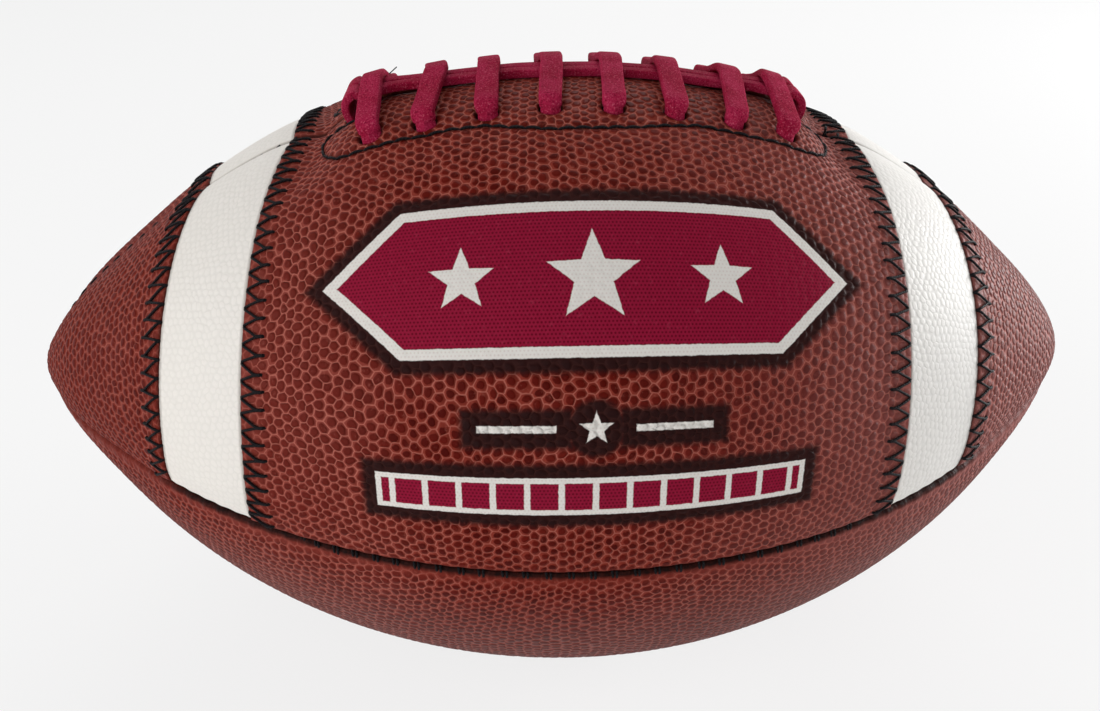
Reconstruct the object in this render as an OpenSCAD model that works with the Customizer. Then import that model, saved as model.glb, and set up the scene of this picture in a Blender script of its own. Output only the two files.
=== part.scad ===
// American football: four leather panels sewn edge to edge round an inflated bladder,
// closed on top by one lace. X runs from tip to tip, +Z is up with the lace on top,
// and the origin is on the surface that the ball lies on, below its middle.

/* [Ball] */
// Length from tip to tip
ball_length = 284; // [276:1:292]
// Width across the middles of two opposite panels
ball_width = 170; // [166:1:174]
// Radius of the rounded tips
tip_r = 14; // [13:0.5:16]
// How far each panel's own axis lies off the ball's axis
panel_offset = 5; // [3:0.5:6]

/* [Leather] */
// Thickness of the leather
leather_t = 2; // [1.6:0.1:2.4]
// Depth of the panel edge that is turned in at each seam
seam_allowance = 7.4; // [6:0.2:7.6]
// Width of the crease along each seam
crease_w = 1.5; // [1.2:0.1:2]
// Depth of the crease along each seam
crease_depth = 1.3; // [1:0.1:1.6]
// Thickness of the fabric lining behind each panel
lining_t = 1; // [0.6:0.1:1.2]
// Gap between pieces that lie on each other
fit_gap = 0.1; // [0.05:0.05:0.15]

/* [Stripes] */
// Distance from the middle to each stripe's inner edge
stripe_in = 74; // [70:0.5:78]
// Width of each stripe that shows
stripe_w = 22.4; // [18:0.2:26]
// Overlap of the brown leather on the white leather
stripe_lap = 6.4; // [6:0.2:8]
// How far the white leather lies below the brown
stripe_recess = 0.4; // [0.2:0.1:0.6]
// Width of the zigzag stitching
zigzag_w = 5.2; // [4:0.2:5.6]
// Distance between the zigzag's points
zigzag_pitch = 4.4; // [3.5:0.1:6]

/* [Lace] */
// Number of crosses
lace_crosses = 8; // [6:1:8]
// Distance between two crosses
cross_pitch = 14.3; // [13:0.1:15]
// Distance from the lace seam to each row of holes
hole_offset = 19; // [18:0.5:20]
// Width of the lace
lace_w = 6.2; // [5.4:0.2:6.4]
// Thickness of the lace
lace_t = 2.2; // [1.8:0.1:2.4]
// Height of each cross's middle line above the leather
arch_h = 4.7; // [4.5:0.1:6]
// Radius of the lace's bend at a hole's outer mouth
mouth_r = 2.6; // [2.2:0.1:3]
// Radius of the lace's bend at a hole's inner mouth
inner_r = 1.6; // [1.4:0.1:1.8]
// Gap between the lace and what it lies on
lace_gap = 0.2; // [0.15:0.05:0.3]
// Radius of the lace's flat turn at each end
turn_r = 4.6; // [4:0.2:6]
// Spare room round the lace in each hole
hole_room = 0.5; // [0.4:0.1:0.8]

/* [Facing and tongue] */
// Thickness of the two facings that the holes are punched in
facing_t = 1.2; // [0.8:0.1:1.4]
// Width of each facing
facing_w = 26; // [25:0.5:30]
// Length of the facing past the last hole
facing_over = 13; // [12.5:0.5:14.5]
// Distance from the facing's edge to its stitching
facing_stitch_in = 2; // [1.5:0.1:3]
// Radius of the facing's stitched corners
facing_corner_r = 8; // [6:0.5:10]
// Length of the unsewn seam past the facing
open_over = 3; // [2:0.5:5]
// Thickness of the tongue under the lace
tongue_t = 1.4; // [1:0.1:1.6]
// Width of the tongue
tongue_w = 44; // [40:1:50]

/* [Thread] */
// Thickness of the stitching thread
thread_d = 0.7; // [0.5:0.1:0.9]

/* [Bladder and valve] */
// Thickness of the bladder's wall
bladder_t = 1.2; // [0.8:0.1:1.6]
// Gap round the bladder and above the tongue
bladder_gap = 0.3; // [0.2:0.05:0.5]
// Radius of the bladder's tips
bladder_tip_r = 9; // [8:0.5:11]
// Radius of the valve's base on the bladder
valve_base_r = 11; // [9:0.5:14]
// Thickness of the valve's base
valve_base_t = 2.4; // [2:0.1:3]
// Radius of the valve's stem
valve_stem_r = 4; // [3.5:0.1:5]
// Radius of the bore for the inflating needle
needle_r = 1.25; // [1:0.05:1.4]
// Depth of the bore for the inflating needle
needle_depth = 5; // [4:0.2:5.6]
// Radius of the self-sealing plug in the valve
plug_r = 2.4; // [2:0.1:2.8]
// Thickness of the valve's closed end around the plug
valve_lip = 0.6; // [0.4:0.1:0.8]

/* [Hidden] */

$fn = 96;
half_length = ball_length / 2;
shift = panel_offset / sqrt(2);
lobe_r = ball_width / 2 - panel_offset;
axis_z = lobe_r + shift;
half_gap = fit_gap / 2;
reach = ball_length;
stripe_out = stripe_in + stripe_w;

// Each panel is part of a lobe: a long arc turned about the panel's own axis, with a
// round tip. tip_x and arc_r are the tip's centre and the long arc's radius.
tip_x = half_length - tip_r;
arc_r = (pow(tip_x, 2) + pow(lobe_r, 2) - pow(tip_r, 2)) / (2 * (lobe_r - tip_r));
arc_steps = 16;
tip_steps = 5;

// Points [x, r] of half an outline, from the middle to the tip, drawn in by inset
function outline_half(inset, r, x_tip, r_tip, r_arc) =
    let(turn = asin(x_tip / (r_arc - r_tip)))
    concat(
        [for (i = [0:arc_steps - 1])
            let(a = turn * i / arc_steps)
            [(r_arc - inset) * sin(a), (r_arc - inset) * cos(a) - (r_arc - r)]],
        [for (i = [0:tip_steps])
            let(a = turn + (90 - turn) * i / tip_steps)
            [x_tip + (r_tip - inset) * sin(a), i == tip_steps ? 0 : (r_tip - inset) * cos(a)]]);
function outline(half) = concat(
    [for (i = [len(half) - 1:-1:1]) [-half[i][0], half[i][1]]], half);
function lobe_outline(inset) = outline(outline_half(inset, lobe_r, tip_x, tip_r, arc_r));

// Radius of a lobe at x, with its surface drawn in by inset
function lobe_at(x, inset) = sqrt(pow(arc_r - inset, 2) - pow(x, 2)) - (arc_r - lobe_r);

module turned(points) {
    rotate([0, 90, 0]) rotate_extrude() polygon([for (p = points) [p[1], p[0]]]);
}
// side is -1 at the front and 1 at the rear, level is 1 above and -1 below
module lobe(side, level, inset) {
    translate([0, side * shift, axis_z + level * shift]) turned(lobe_outline(inset));
}
module quarter(side, level, back) {
    translate([-reach, side > 0 ? back : -back - reach, axis_z + (level > 0 ? back : -back - reach)])
        cube([2 * reach, reach, reach]);
}
module between(x_low, x_high) {
    translate([x_low, -reach, -reach]) cube([x_high - x_low, 2 * reach, 2 * reach]);
}

// Lace layout. Its places are [s, y, h]: s along the top line of the ball, y to the side
// and h above the leather. bent() lays them round the ball.
last_hole = cross_pitch * (lace_crosses - 1) / 2;
facing_half = last_hole + facing_over;
open_half = facing_half + open_over;
skin_t = leather_t + fit_gap + facing_t;
run_y = (lace_w + 3 * lace_gap) / 2;
run_h = lace_gap + lace_t / 2;
under_h = -(skin_t + lace_gap + lace_t / 2);
end_r = (run_h - under_h) / 2;
end_s = last_hole + turn_r;
slot_s = end_s + end_r;
function turn_at(s) = s / arc_r * 180 / PI;
function x_at(s) = arc_r * sin(turn_at(s));
function bent(p) =
    let(a = turn_at(p[0]))
    [(arc_r + p[2]) * sin(a), p[1], (arc_r + p[2]) * cos(a) - arc_r + lobe_r + shift + axis_z];
function bent_way(s, way) =
    let(a = turn_at(s))
    [way[0] * cos(a) + way[2] * sin(a), way[1], way[2] * cos(a) - way[0] * sin(a)];
// How far the leather at y has fallen below the top line
function drop(s, y) =
    let(r = lobe_at(x_at(s), 0))
    cos(turn_at(s)) * (r - sqrt(pow(r, 2) - pow(abs(y) - shift, 2)));

// One cross at s: up through the front hole, over the runs and down through the rear hole
mouth_turn = 66;
mouth_y = hole_offset - mouth_r * (1 - cos(mouth_turn));
arch_shares = [0.78, 0.4, 0];
function half_cross(s, side) =
    let(low = -drop(s, hole_offset), mouth_h = low + mouth_r * sin(mouth_turn))
    concat(
        [for (a = [0, mouth_turn / 2, mouth_turn])
            [s, side * (hole_offset - mouth_r * (1 - cos(a))), low + mouth_r * sin(a)]],
        [for (k = arch_shares)
            [s, side * mouth_y * k, arch_h - (arch_h - mouth_h) * k * k]]);
function reversed(list) = [for (i = [len(list) - 1:-1:0]) list[i]];
function cross_points(s) = concat(half_cross(s, -1),
    [for (i = [len(arch_shares) + 1:-1:0]) half_cross(s, 1)[i]]);

// Under the facing: the bend below a hole, and the flat run to the next hole
bend_y = hole_offset - inner_r;
under_shares = [0.6, 0, -0.6];
function bend_top(s) = -drop(s, hole_offset) - skin_t;
function bend_points(s, side) =
    [for (a = [0, 45, 90])
        [s, side * (hole_offset - inner_r * (1 - cos(a))), bend_top(s) - inner_r * sin(a)]];
function under_at(s, y) =
    let(low = bend_top(s) - inner_r)
    low + (under_h - low) * (1 - pow(y / bend_y, 2));
function under_points(s, next) =
    [for (k = under_shares)
        let(here = next + (s - next) * (1 + k) / 2)
        [here, bend_y * k, under_at(here, bend_y * k)]];

// The two ends: a half turn between the top run and the layer under the facing, and a
// flat turn there towards the last hole
function end_turn(end, y) =
    [for (a = [0:30:180]) [end * (end_s + end_r * sin(a)), y, run_h - end_r * (1 - cos(a))]];
flat_turns = [30, 60, 90];
function flat_turn(end, side) =
    [for (a = flat_turns)
        let(y = run_y + turn_r * (1 - cos(a)), s = end_s - turn_r * sin(a))
        [[end * s, side * y, under_at(s, y)], [sin(a), -cos(a), 0]]];
tail = turn_r - 2 * lace_gap;
run_steps = 12;
function run_points(y) =
    [for (i = [1:run_steps - 1]) [end_s * (2 * i / run_steps - 1), y, run_h]];
function hole_s(i) = cross_pitch * (lace_crosses - 1 - 2 * i) / 2;

// Each lace point is [place, way]: way is the direction of the lace's width
across = [0, -1, 0];
along = [1, 0, 0];
function with_way(points, way) = [for (p = points) [p, way]];
slant = atan2(cross_pitch, 2 * bend_y);
slant_way = [cos(slant), -sin(slant), 0];
lace_points = concat(
    [[[tail - end_s, -run_y, under_h], across]],
    with_way(reversed(end_turn(-1, -run_y)), across),
    with_way(run_points(-run_y), across),
    with_way(end_turn(1, -run_y), across),
    flat_turn(1, -1),
    with_way(reversed(bend_points(last_hole, -1)), along),
    [for (i = [0:lace_crosses - 1]) each concat(
        with_way(cross_points(hole_s(i)), along),
        with_way(bend_points(hole_s(i), 1), along),
        i == lace_crosses - 1 ? [] : concat(
            with_way(under_points(hole_s(i), hole_s(i + 1)), slant_way),
            with_way(reversed(bend_points(hole_s(i + 1), -1)), along)))],
    reversed(flat_turn(-1, 1)),
    with_way(reversed(end_turn(-1, run_y)), across),
    with_way(run_points(run_y), across),
    with_way(end_turn(1, run_y), across),
    [[[end_s - tail, run_y, under_h], across]]);

// Widest stretch of a tube's section at a sharp corner, as a share
mitre_share = 0.4;
function unit(v) = v / norm(v);
function tangent(places, i) =
    unit(places[min(i + 1, len(places) - 1)] - places[max(i - 1, 0)]);
// A tube with a flat section: section holds [along the width, along the thickness]
module swept(places, ways, section) {
    n = len(section);
    last = len(places) - 1;
    rings = [for (i = [0:last])
        let(t = tangent(places, i), leg = unit(places[min(i + 1, last)] - places[min(i, last - 1)]),
            w = unit(ways[i] - (ways[i] * t) * t), b = cross(t, w) / max(mitre_share, t * leg))
        for (c = section) places[i] + c[0] * w + c[1] * b];
    sides = [for (i = [0:last - 1], j = [0:n - 1])
        let(a = i * n + j, b = i * n + (j + 1) % n)
        each [[a, b, a + n], [b, b + n, a + n]]];
    start = [for (j = [1:n - 2]) [0, j + 1, j]];
    stop = [for (j = [1:n - 2]) [last * n, last * n + j, last * n + j + 1]];
    polyhedron(points = rings, faces = concat([for (f = sides) [f[0], f[2], f[1]]],
        [for (f = start) [f[0], f[2], f[1]]], [for (f = stop) [f[0], f[2], f[1]]]));
}

// The lace's least gap to itself, measured on the points of its rings
function ring_points(places, ways, section) =
    [for (i = [0:len(places) - 1])
        let(t = tangent(places, i), w = unit(ways[i] - (ways[i] * t) * t), b = cross(t, w))
        [for (c = section) places[i] + c[0] * w + c[1] * b]];
function least_gap(rings, apart, near) =
    min([for (i = [0:len(rings) - 1 - apart], j = [i + apart:len(rings) - 1])
        if (norm(rings[i][0] - rings[j][0]) < near)
            min([for (p = rings[i], q = rings[j]) norm(p - q)])]);

// Where the valve stands: half way between two seams, in the rear upper panel
stack_t = skin_t + 3 * lace_gap + lace_t + tongue_t + bladder_gap;
bladder_r = lobe_r + shift - stack_t;
bladder_half = tip_x + tip_r - seam_allowance - panel_offset;
bladder_x = bladder_half - bladder_tip_r;
bladder_arc = (pow(bladder_x, 2) + pow(bladder_r, 2) - pow(bladder_tip_r, 2))
    / (2 * (bladder_r - bladder_tip_r));
valve_recess = 0.5;
valve_top = ball_width / 2 - valve_recess;
module bladder_shape(inset) {
    translate([0, 0, axis_z])
        turned(outline(outline_half(inset, bladder_r, bladder_x, bladder_tip_r, bladder_arc)));
}
module valve_place(height) {
    translate([0, 0, axis_z]) rotate([-45, 0, 0]) translate([0, 0, height]) children();
}

// Seams: a strip between two insets of the seam's own curve. turn is 0 at the rear, 90 on
// top, 180 at the front and 270 below.
function seam_curve(inset) =
    [for (p = lobe_outline(inset)) if (p[1] > shift) [p[0], shift + sqrt(pow(p[1], 2) - pow(shift, 2))]];
module seam_strip(turn, outer, inner, width) {
    translate([0, 0, axis_z]) rotate([turn, 0, 0]) translate([0, 0, -width / 2])
        linear_extrude(height = width)
            polygon(concat(seam_curve(outer), reversed(seam_curve(inner))));
}
module seam_thread(turn, x_low, x_high) {
    deep = crease_depth - fit_gap;
    intersection() {
        seam_strip(turn, deep - thread_d, deep, crease_w - 2 * fit_gap);
        between(x_low, x_high);
    }
}
thread_half = tip_x + tip_r / 2;
thread_colour = "#1d1820";

// Panels: a quarter of the ball with its edges turned in at the seams
module panel(side, level, inset) {
    difference() {
        intersection() {
            lobe(side, level, inset);
            quarter(side, level, half_gap);
        }
        intersection() {
            lobe(side, level, leather_t);
            quarter(side, level, half_gap + leather_t);
        }
        lobe(side, level, seam_allowance);
        if (level > 0) intersection() {
            lobe(side, level, leather_t);
            translate([0, -side * leather_t, 0]) quarter(side, level, half_gap + leather_t);
            between(-x_at(open_half), x_at(open_half));
        }
        seam_strip(side > 0 ? 0 : 180, -crease_depth, crease_depth, crease_w);
        seam_strip(level > 0 ? 90 : 270, -crease_depth, crease_depth, crease_w);
    }
}
module band(end, near, far) {
    between(min(end * near, end * far), max(end * near, end * far));
}
module lace_holes() {
    hole_r = lace_t / 2 + hole_room;
    for (i = [0:lace_crosses - 1], side = [-1, 1])
        translate(bent([hole_s(i), side * hole_offset, -skin_t]))
            rotate([0, turn_at(hole_s(i)), 0]) {
                cube([lace_w + 2 * hole_room - 2 * hole_r, 2 * hole_r, 4 * skin_t], center = true);
                for (end = [-1, 1])
                    translate([end * (lace_w / 2 + hole_room - hole_r), 0, 0])
                        cylinder(h = 4 * skin_t, r = hole_r, center = true, $fn = 24);
            }
    for (end = [-1, 1])
        translate(bent([end * slot_s, 0, -skin_t]))
            rotate([0, turn_at(end * slot_s), 0])
                cube([lace_t + 2 * hole_room, 2 * run_y + lace_w + 2 * hole_room, 4 * skin_t],
                    center = true);
}
module centre_panel(side) {
    color("#6b3326") difference() {
        panel(side, 1, 0);
        for (end = [-1, 1]) {
            band(end, stripe_in, reach);
            intersection() {
                lobe(side, 1, leather_t / 2 - half_gap);
                band(end, stripe_in - stripe_lap, reach);
            }
        }
        lace_holes();
        if (side > 0) valve_place(bladder_r) cylinder(h = reach, r = valve_stem_r + fit_gap);
    }
}
module stripe(side, end) {
    lap_in = stripe_in - stripe_lap + fit_gap;
    lap_out = stripe_out + stripe_lap - fit_gap;
    color("#e9e6e0") intersection() {
        union() {
            intersection() {
                panel(side, 1, stripe_recess);
                band(end, stripe_in + fit_gap, stripe_out - fit_gap);
            }
            panel(side, 1, leather_t / 2 + half_gap);
        }
        band(end, lap_in, lap_out);
    }
}
module end_panel(side, end) {
    color("#6b3326") difference() {
        intersection() {
            panel(side, 1, 0);
            band(end, stripe_out, reach);
        }
        intersection() {
            lobe(side, 1, leather_t / 2 - half_gap);
            band(end, 0, stripe_out + stripe_lap);
        }
    }
}
module front_centre_panel() { centre_panel(-1); }
module front_left_stripe() { stripe(-1, -1); }
module front_right_stripe() { stripe(-1, 1); }
module front_left_end_panel() { end_panel(-1, -1); }
module front_right_end_panel() { end_panel(-1, 1); }
module rear_centre_panel() { centre_panel(1); }
module rear_left_stripe() { stripe(1, -1); }
module rear_right_stripe() { stripe(1, 1); }
module rear_left_end_panel() { end_panel(1, -1); }
module rear_right_end_panel() { end_panel(1, 1); }
module front_lower_panel() { color("#65301f") panel(-1, -1, 0); }
module rear_lower_panel() { color("#65301f") panel(1, -1, 0); }

// Linings lie behind the leather, between the turned-in edges
module facing_zone(side, spare) {
    wide = facing_w + spare;
    long = x_at(facing_half) + spare;
    translate([-long, side > 0 ? 0 : -wide, axis_z]) cube([2 * long, wide, reach]);
}
module lining(side, level) {
    outer = leather_t + fit_gap;
    color("#c9b98f") difference() {
        intersection() {
            lobe(side, level, outer);
            quarter(side, level, half_gap + leather_t + fit_gap);
        }
        lobe(side, level, outer + lining_t);
        if (level > 0) facing_zone(side, lace_gap);
        if (level > 0 && side > 0)
            valve_place(bladder_r) cylinder(h = reach, r = valve_stem_r + fit_gap);
    }
}
module front_upper_lining() { lining(-1, 1); }
module rear_upper_lining() { lining(1, 1); }
module front_lower_lining() { lining(-1, -1); }
module rear_lower_lining() { lining(1, -1); }

// Facings carry the two rows of lace holes behind the upper panels' edges
module facing(side) {
    outer = leather_t + fit_gap;
    color("#4a2118") difference() {
        intersection() {
            lobe(side, 1, outer);
            quarter(side, 1, half_gap);
            facing_zone(side, 0);
        }
        lobe(side, 1, outer + facing_t);
        lace_holes();
    }
}
module front_lace_facing() { facing(-1); }
module rear_lace_facing() { facing(1); }

module tongue() {
    long = x_at(open_half) - bladder_gap;
    color("#54281c") difference() {
        intersection() {
            bladder_shape(-bladder_gap - tongue_t);
            translate([-long, -tongue_w / 2, axis_z]) cube([2 * long, tongue_w, reach]);
        }
        bladder_shape(-bladder_gap);
    }
}

module lace() {
    half_w = lace_w / 2;
    half_t = lace_t / 2;
    flat = half_w - half_t / 2;
    section = [[half_w, 0], [flat, half_t], [-flat, half_t], [-half_w, 0], [-flat, -half_t], [flat, -half_t]];
    places = [for (p = lace_points) bent(p[0])];
    ways = [for (p = lace_points) bent_way(p[0][0], p[1])];
    echo(lace_least_gap = least_gap(ring_points(places, ways, section), 7, 2 * lace_w));
    color("#8c1d3f") swept(places, ways, section);
}

module bladder() {
    color("#2b2b2e") difference() {
        bladder_shape(0);
        bladder_shape(bladder_t);
        valve_place(bladder_r - 2 * bladder_t) cylinder(h = 4 * bladder_t, r = needle_r);
    }
}
plug_low = bladder_r + fit_gap + valve_lip;
plug_high = valve_top - needle_depth;
module valve_body() {
    color("#3a3a3e") difference() {
        union() {
            valve_place(bladder_r - valve_base_t) cylinder(h = 2 * valve_base_t, r = valve_base_r);
            valve_place(bladder_r) cylinder(h = valve_top - bladder_r, r = valve_stem_r);
        }
        bladder_shape(-fit_gap);
        valve_place(bladder_r - valve_base_t) cylinder(h = reach, r = needle_r);
        valve_place(plug_low) cylinder(h = plug_high - plug_low, r = plug_r + fit_gap);
    }
}
module valve_plug() {
    color("#8a8a70") valve_place(plug_low + half_gap)
        cylinder(h = plug_high - plug_low - fit_gap, r = plug_r);
}

module rear_seam_thread() { color(thread_colour) seam_thread(0, -thread_half, thread_half); }
module front_seam_thread() { color(thread_colour) seam_thread(180, -thread_half, thread_half); }
module bottom_seam_thread() { color(thread_colour) seam_thread(270, -thread_half, thread_half); }
module top_seam_thread() {
    color(thread_colour) for (end = [-1, 1])
        seam_thread(90, min(end * x_at(open_half), end * thread_half),
            max(end * x_at(open_half), end * thread_half));
}

// Stitching that lies on the leather
thread_h = fit_gap + thread_d / 2;
thread_section = [for (a = [0, 90, 180, 270]) thread_d / 2 * [cos(a), sin(a)]];
module facing_thread(side) {
    long = facing_half - facing_stitch_in;
    wide = facing_w - facing_stitch_in;
    near = crease_w;
    corner = concat(
        [[long, near], [long, (near + wide - facing_corner_r) / 2]],
        [for (a = [0:30:90]) [long - facing_corner_r * (1 - cos(a)),
            wide - facing_corner_r * (1 - sin(a))]]);
    steps = 16;
    middle = [for (i = [1:steps - 1]) [(long - facing_corner_r) * (1 - 2 * i / steps), wide]];
    path = concat(corner, middle, [for (p = reversed(corner)) [-p[0], p[1]]]);
    color(thread_colour) swept(
        [for (p = path) bent([p[0], side * p[1], thread_h - drop(p[0], p[1])])],
        [for (p = path) bent_way(p[0], [0, 0, 1])], thread_section);
}
module front_facing_thread() { facing_thread(-1); }
module rear_facing_thread() { facing_thread(1); }

module zigzag(side, end, middle) {
    low = asin((crease_w - shift) / lobe_at(middle, 0));
    count = 2 * floor((90 - 2 * low) * PI / 180 * lobe_at(middle, 0) / zigzag_pitch);
    path = [for (i = [0:count])
        let(a = low + (90 - 2 * low) * i / count,
            x = middle + (i % 2 == 0 ? -1 : 1) * (zigzag_w - thread_d) / 2,
            r = lobe_at(x, -thread_h))
        [end * x, side * (shift + r * cos(a)), axis_z + shift + r * sin(a)]];
    color(thread_colour) swept(path,
        [for (i = [0:count]) let(a = low + (90 - 2 * low) * i / count) [0, side * cos(a), sin(a)]],
        thread_section);
}
inner_zigzag = stripe_in - stripe_lap / 2;
outer_zigzag = stripe_out + stripe_lap / 2;
module front_left_inner_zigzag() { zigzag(-1, -1, inner_zigzag); }
module front_left_outer_zigzag() { zigzag(-1, -1, outer_zigzag); }
module front_right_inner_zigzag() { zigzag(-1, 1, inner_zigzag); }
module front_right_outer_zigzag() { zigzag(-1, 1, outer_zigzag); }
module rear_left_inner_zigzag() { zigzag(1, -1, inner_zigzag); }
module rear_left_outer_zigzag() { zigzag(1, -1, outer_zigzag); }
module rear_right_inner_zigzag() { zigzag(1, 1, inner_zigzag); }
module rear_right_outer_zigzag() { zigzag(1, 1, outer_zigzag); }

bladder();
valve_body();
valve_plug();
front_centre_panel();
front_left_stripe();
front_right_stripe();
front_left_end_panel();
front_right_end_panel();
rear_centre_panel();
rear_left_stripe();
rear_right_stripe();
rear_left_end_panel();
rear_right_end_panel();
front_lower_panel();
rear_lower_panel();
front_upper_lining();
rear_upper_lining();
front_lower_lining();
rear_lower_lining();
front_lace_facing();
rear_lace_facing();
tongue();
lace();
front_seam_thread();
rear_seam_thread();
bottom_seam_thread();
top_seam_thread();
front_facing_thread();
rear_facing_thread();
front_left_inner_zigzag();
front_left_outer_zigzag();
front_right_inner_zigzag();
front_right_outer_zigzag();
rear_left_inner_zigzag();
rear_left_outer_zigzag();
rear_right_inner_zigzag();
rear_right_outer_zigzag();
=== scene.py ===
import math

import bpy
import numpy as np
from mathutils import Matrix, Vector


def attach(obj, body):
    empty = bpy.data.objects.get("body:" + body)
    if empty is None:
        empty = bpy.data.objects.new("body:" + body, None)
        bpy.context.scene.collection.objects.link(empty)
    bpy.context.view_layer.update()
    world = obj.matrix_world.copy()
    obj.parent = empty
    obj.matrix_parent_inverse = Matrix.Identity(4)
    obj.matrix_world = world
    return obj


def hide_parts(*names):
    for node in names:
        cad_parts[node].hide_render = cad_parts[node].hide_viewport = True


# American football: four leather panels round a bladder, laced on top. Lengths are in metres.
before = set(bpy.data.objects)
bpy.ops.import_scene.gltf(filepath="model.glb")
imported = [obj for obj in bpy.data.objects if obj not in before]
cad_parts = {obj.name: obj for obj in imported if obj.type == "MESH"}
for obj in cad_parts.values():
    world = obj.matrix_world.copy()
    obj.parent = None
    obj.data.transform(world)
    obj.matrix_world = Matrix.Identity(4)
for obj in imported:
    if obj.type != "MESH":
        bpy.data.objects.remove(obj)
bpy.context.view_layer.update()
mm = 0.001
print("frame loaded:", len(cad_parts), "nodes")

ball = {
    "halfLength": 142 * mm,
    "width": 170 * mm,
    "tipRadius": 14 * mm,
    "panelOffset": 5 * mm,  # each panel's own axis lies this far off the ball's axis
    "leather": 2 * mm,
    "facing": 1.2 * mm,
    "fitGap": 0.1 * mm,
    "cuts": 7,  # each coarse cell of the leather is cut this often each way
    "seamGap": 0.05 * mm,  # how far from the seam's middle each panel's leather ends
    "thinnest": 0.5 * mm,
    "tipGap": 0.15 * mm,  # how far from the tips the leather ends
    "seamEnd": 9 * mm,  # how far from the tips the seams' threads end
    "flatRadius": 84 * mm,  # turns the print's place down the panel into a length
}
shift = ball["panelOffset"] / math.sqrt(2)
lobeRadius = ball["width"] / 2 - ball["panelOffset"]
axisHeight = lobeRadius + shift
tipRadius = ball["tipRadius"]
tipCentre = ball["halfLength"] - tipRadius
arcRadius = (tipCentre**2 + lobeRadius**2 - tipRadius**2) / (2 * (lobeRadius - tipRadius))
arcDrop = arcRadius - lobeRadius
arcTurn = math.asin(tipCentre / (arcRadius - tipRadius))
turnX = arcRadius * math.sin(arcTurn)
turnRadius = arcRadius * math.cos(arcTurn) - arcDrop
endArc = arcRadius * arcTurn + tipRadius * (math.pi / 2 - arcTurn)
polarArc = 120 * mm  # past this the rings shrink evenly towards the tip
seamEnd = endArc - ball["seamEnd"]
quarterTurn = math.pi / 2

camera = {
    "distance": 262.8 * mm,
    "elevation": 0.6257,
    "azimuth": -0.0807,
    "roll": 0.028,
    "focalPixels": 886.8,
    "centrePixel": (568.5, 354.3),
    "picture": (1100, 711),
    "sensor": 36.0,
    "clip": (10 * mm, 20.0),
}


def makeCamera(settings):
    bpy.ops.object.select_all(action="DESELECT")
    bpy.ops.object.camera_add()
    eye = bpy.context.object
    eye.name = "camera"
    flat = math.cos(settings["elevation"])
    back = Vector((
        math.sin(settings["azimuth"]) * flat,
        -math.cos(settings["azimuth"]) * flat,
        math.sin(settings["elevation"]),
    ))
    right = (-back).cross(Vector((0, 0, 1))).normalized()
    up = right.cross(-back)
    cosine, sine = math.cos(settings["roll"]), math.sin(settings["roll"])
    rolledRight = cosine * right + sine * up
    rolledUp = cosine * up - sine * right
    place = Matrix((rolledRight, rolledUp, back)).transposed().to_4x4()
    place.translation = Vector((0, 0, axisHeight)) + back * settings["distance"]
    eye.matrix_world = place
    wide, high = settings["picture"]
    eye.data.sensor_width = settings["sensor"]
    eye.data.lens = settings["focalPixels"] / wide * settings["sensor"]
    eye.data.shift_x = (wide / 2 - settings["centrePixel"][0]) / wide
    eye.data.shift_y = (settings["centrePixel"][1] - high / 2) / wide
    eye.data.clip_start, eye.data.clip_end = settings["clip"]
    bpy.context.scene.camera = eye


makeCamera(camera)

lamps = {
    "key": {"place": (-0.3, -0.75, 1.0), "size": 0.9, "power": 2.0},
    "left": {"place": (-1.05, -0.3, 0.5), "size": 0.8, "power": 4.3},
    "right": {"place": (1.1, 0.3, 0.1), "size": 0.7, "power": 20.0},
    "low": {"place": (-0.5, -1.1, 0.2), "size": 0.8, "power": 3.3},
    "back": {"place": (0.25, 0.95, 0.9), "size": 0.9, "power": 4.2},
}


def makeLamps(settings):
    target = Vector((0, 0, axisHeight))
    for name, lamp in settings.items():
        bpy.ops.object.light_add(type="AREA", location=lamp["place"])
        light = bpy.context.object
        light.name = name + "Lamp"
        light.data.shape = "DISK"
        light.data.size = lamp["size"]
        light.data.energy = lamp["power"]
        aim = target - Vector(lamp["place"])
        light.rotation_euler = aim.to_track_quat("-Z", "Y").to_euler()


makeLamps(lamps)
bpy.context.scene.view_settings.view_transform = "Standard"


class Wire:
    # One output socket, so that shader maths reads as plain expressions
    def __init__(self, board, socket):
        self.board = board
        self.socket = socket

    def maths(self, operation, *others):
        return self.board.maths(operation, self, *others)

    def __add__(self, other):
        return self.maths("ADD", other)

    def __sub__(self, other):
        return self.maths("SUBTRACT", other)

    def __rsub__(self, other):
        return self.board.maths("SUBTRACT", other, self)

    def __mul__(self, other):
        return self.maths("MULTIPLY", other)

    def __truediv__(self, other):
        return self.maths("DIVIDE", other)

    __radd__ = __add__
    __rmul__ = __mul__

    def most(self, other):
        return self.maths("MAXIMUM", other)

    def least(self, other):
        return self.maths("MINIMUM", other)

    def size(self):
        return self.maths("ABSOLUTE")

    def waves(self, length):
        # Rises evenly from 0 to this length and falls back, over and over
        return self.maths("PINGPONG", length)

    def rise(self, low, high):
        # 0 below low, 1 above high, smooth between
        return self.board.add(
            "ShaderNodeMapRange",
            {"interpolation_type": "SMOOTHSTEP"},
            {"Value": self, "From Min": low, "From Max": high},
        )


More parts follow.
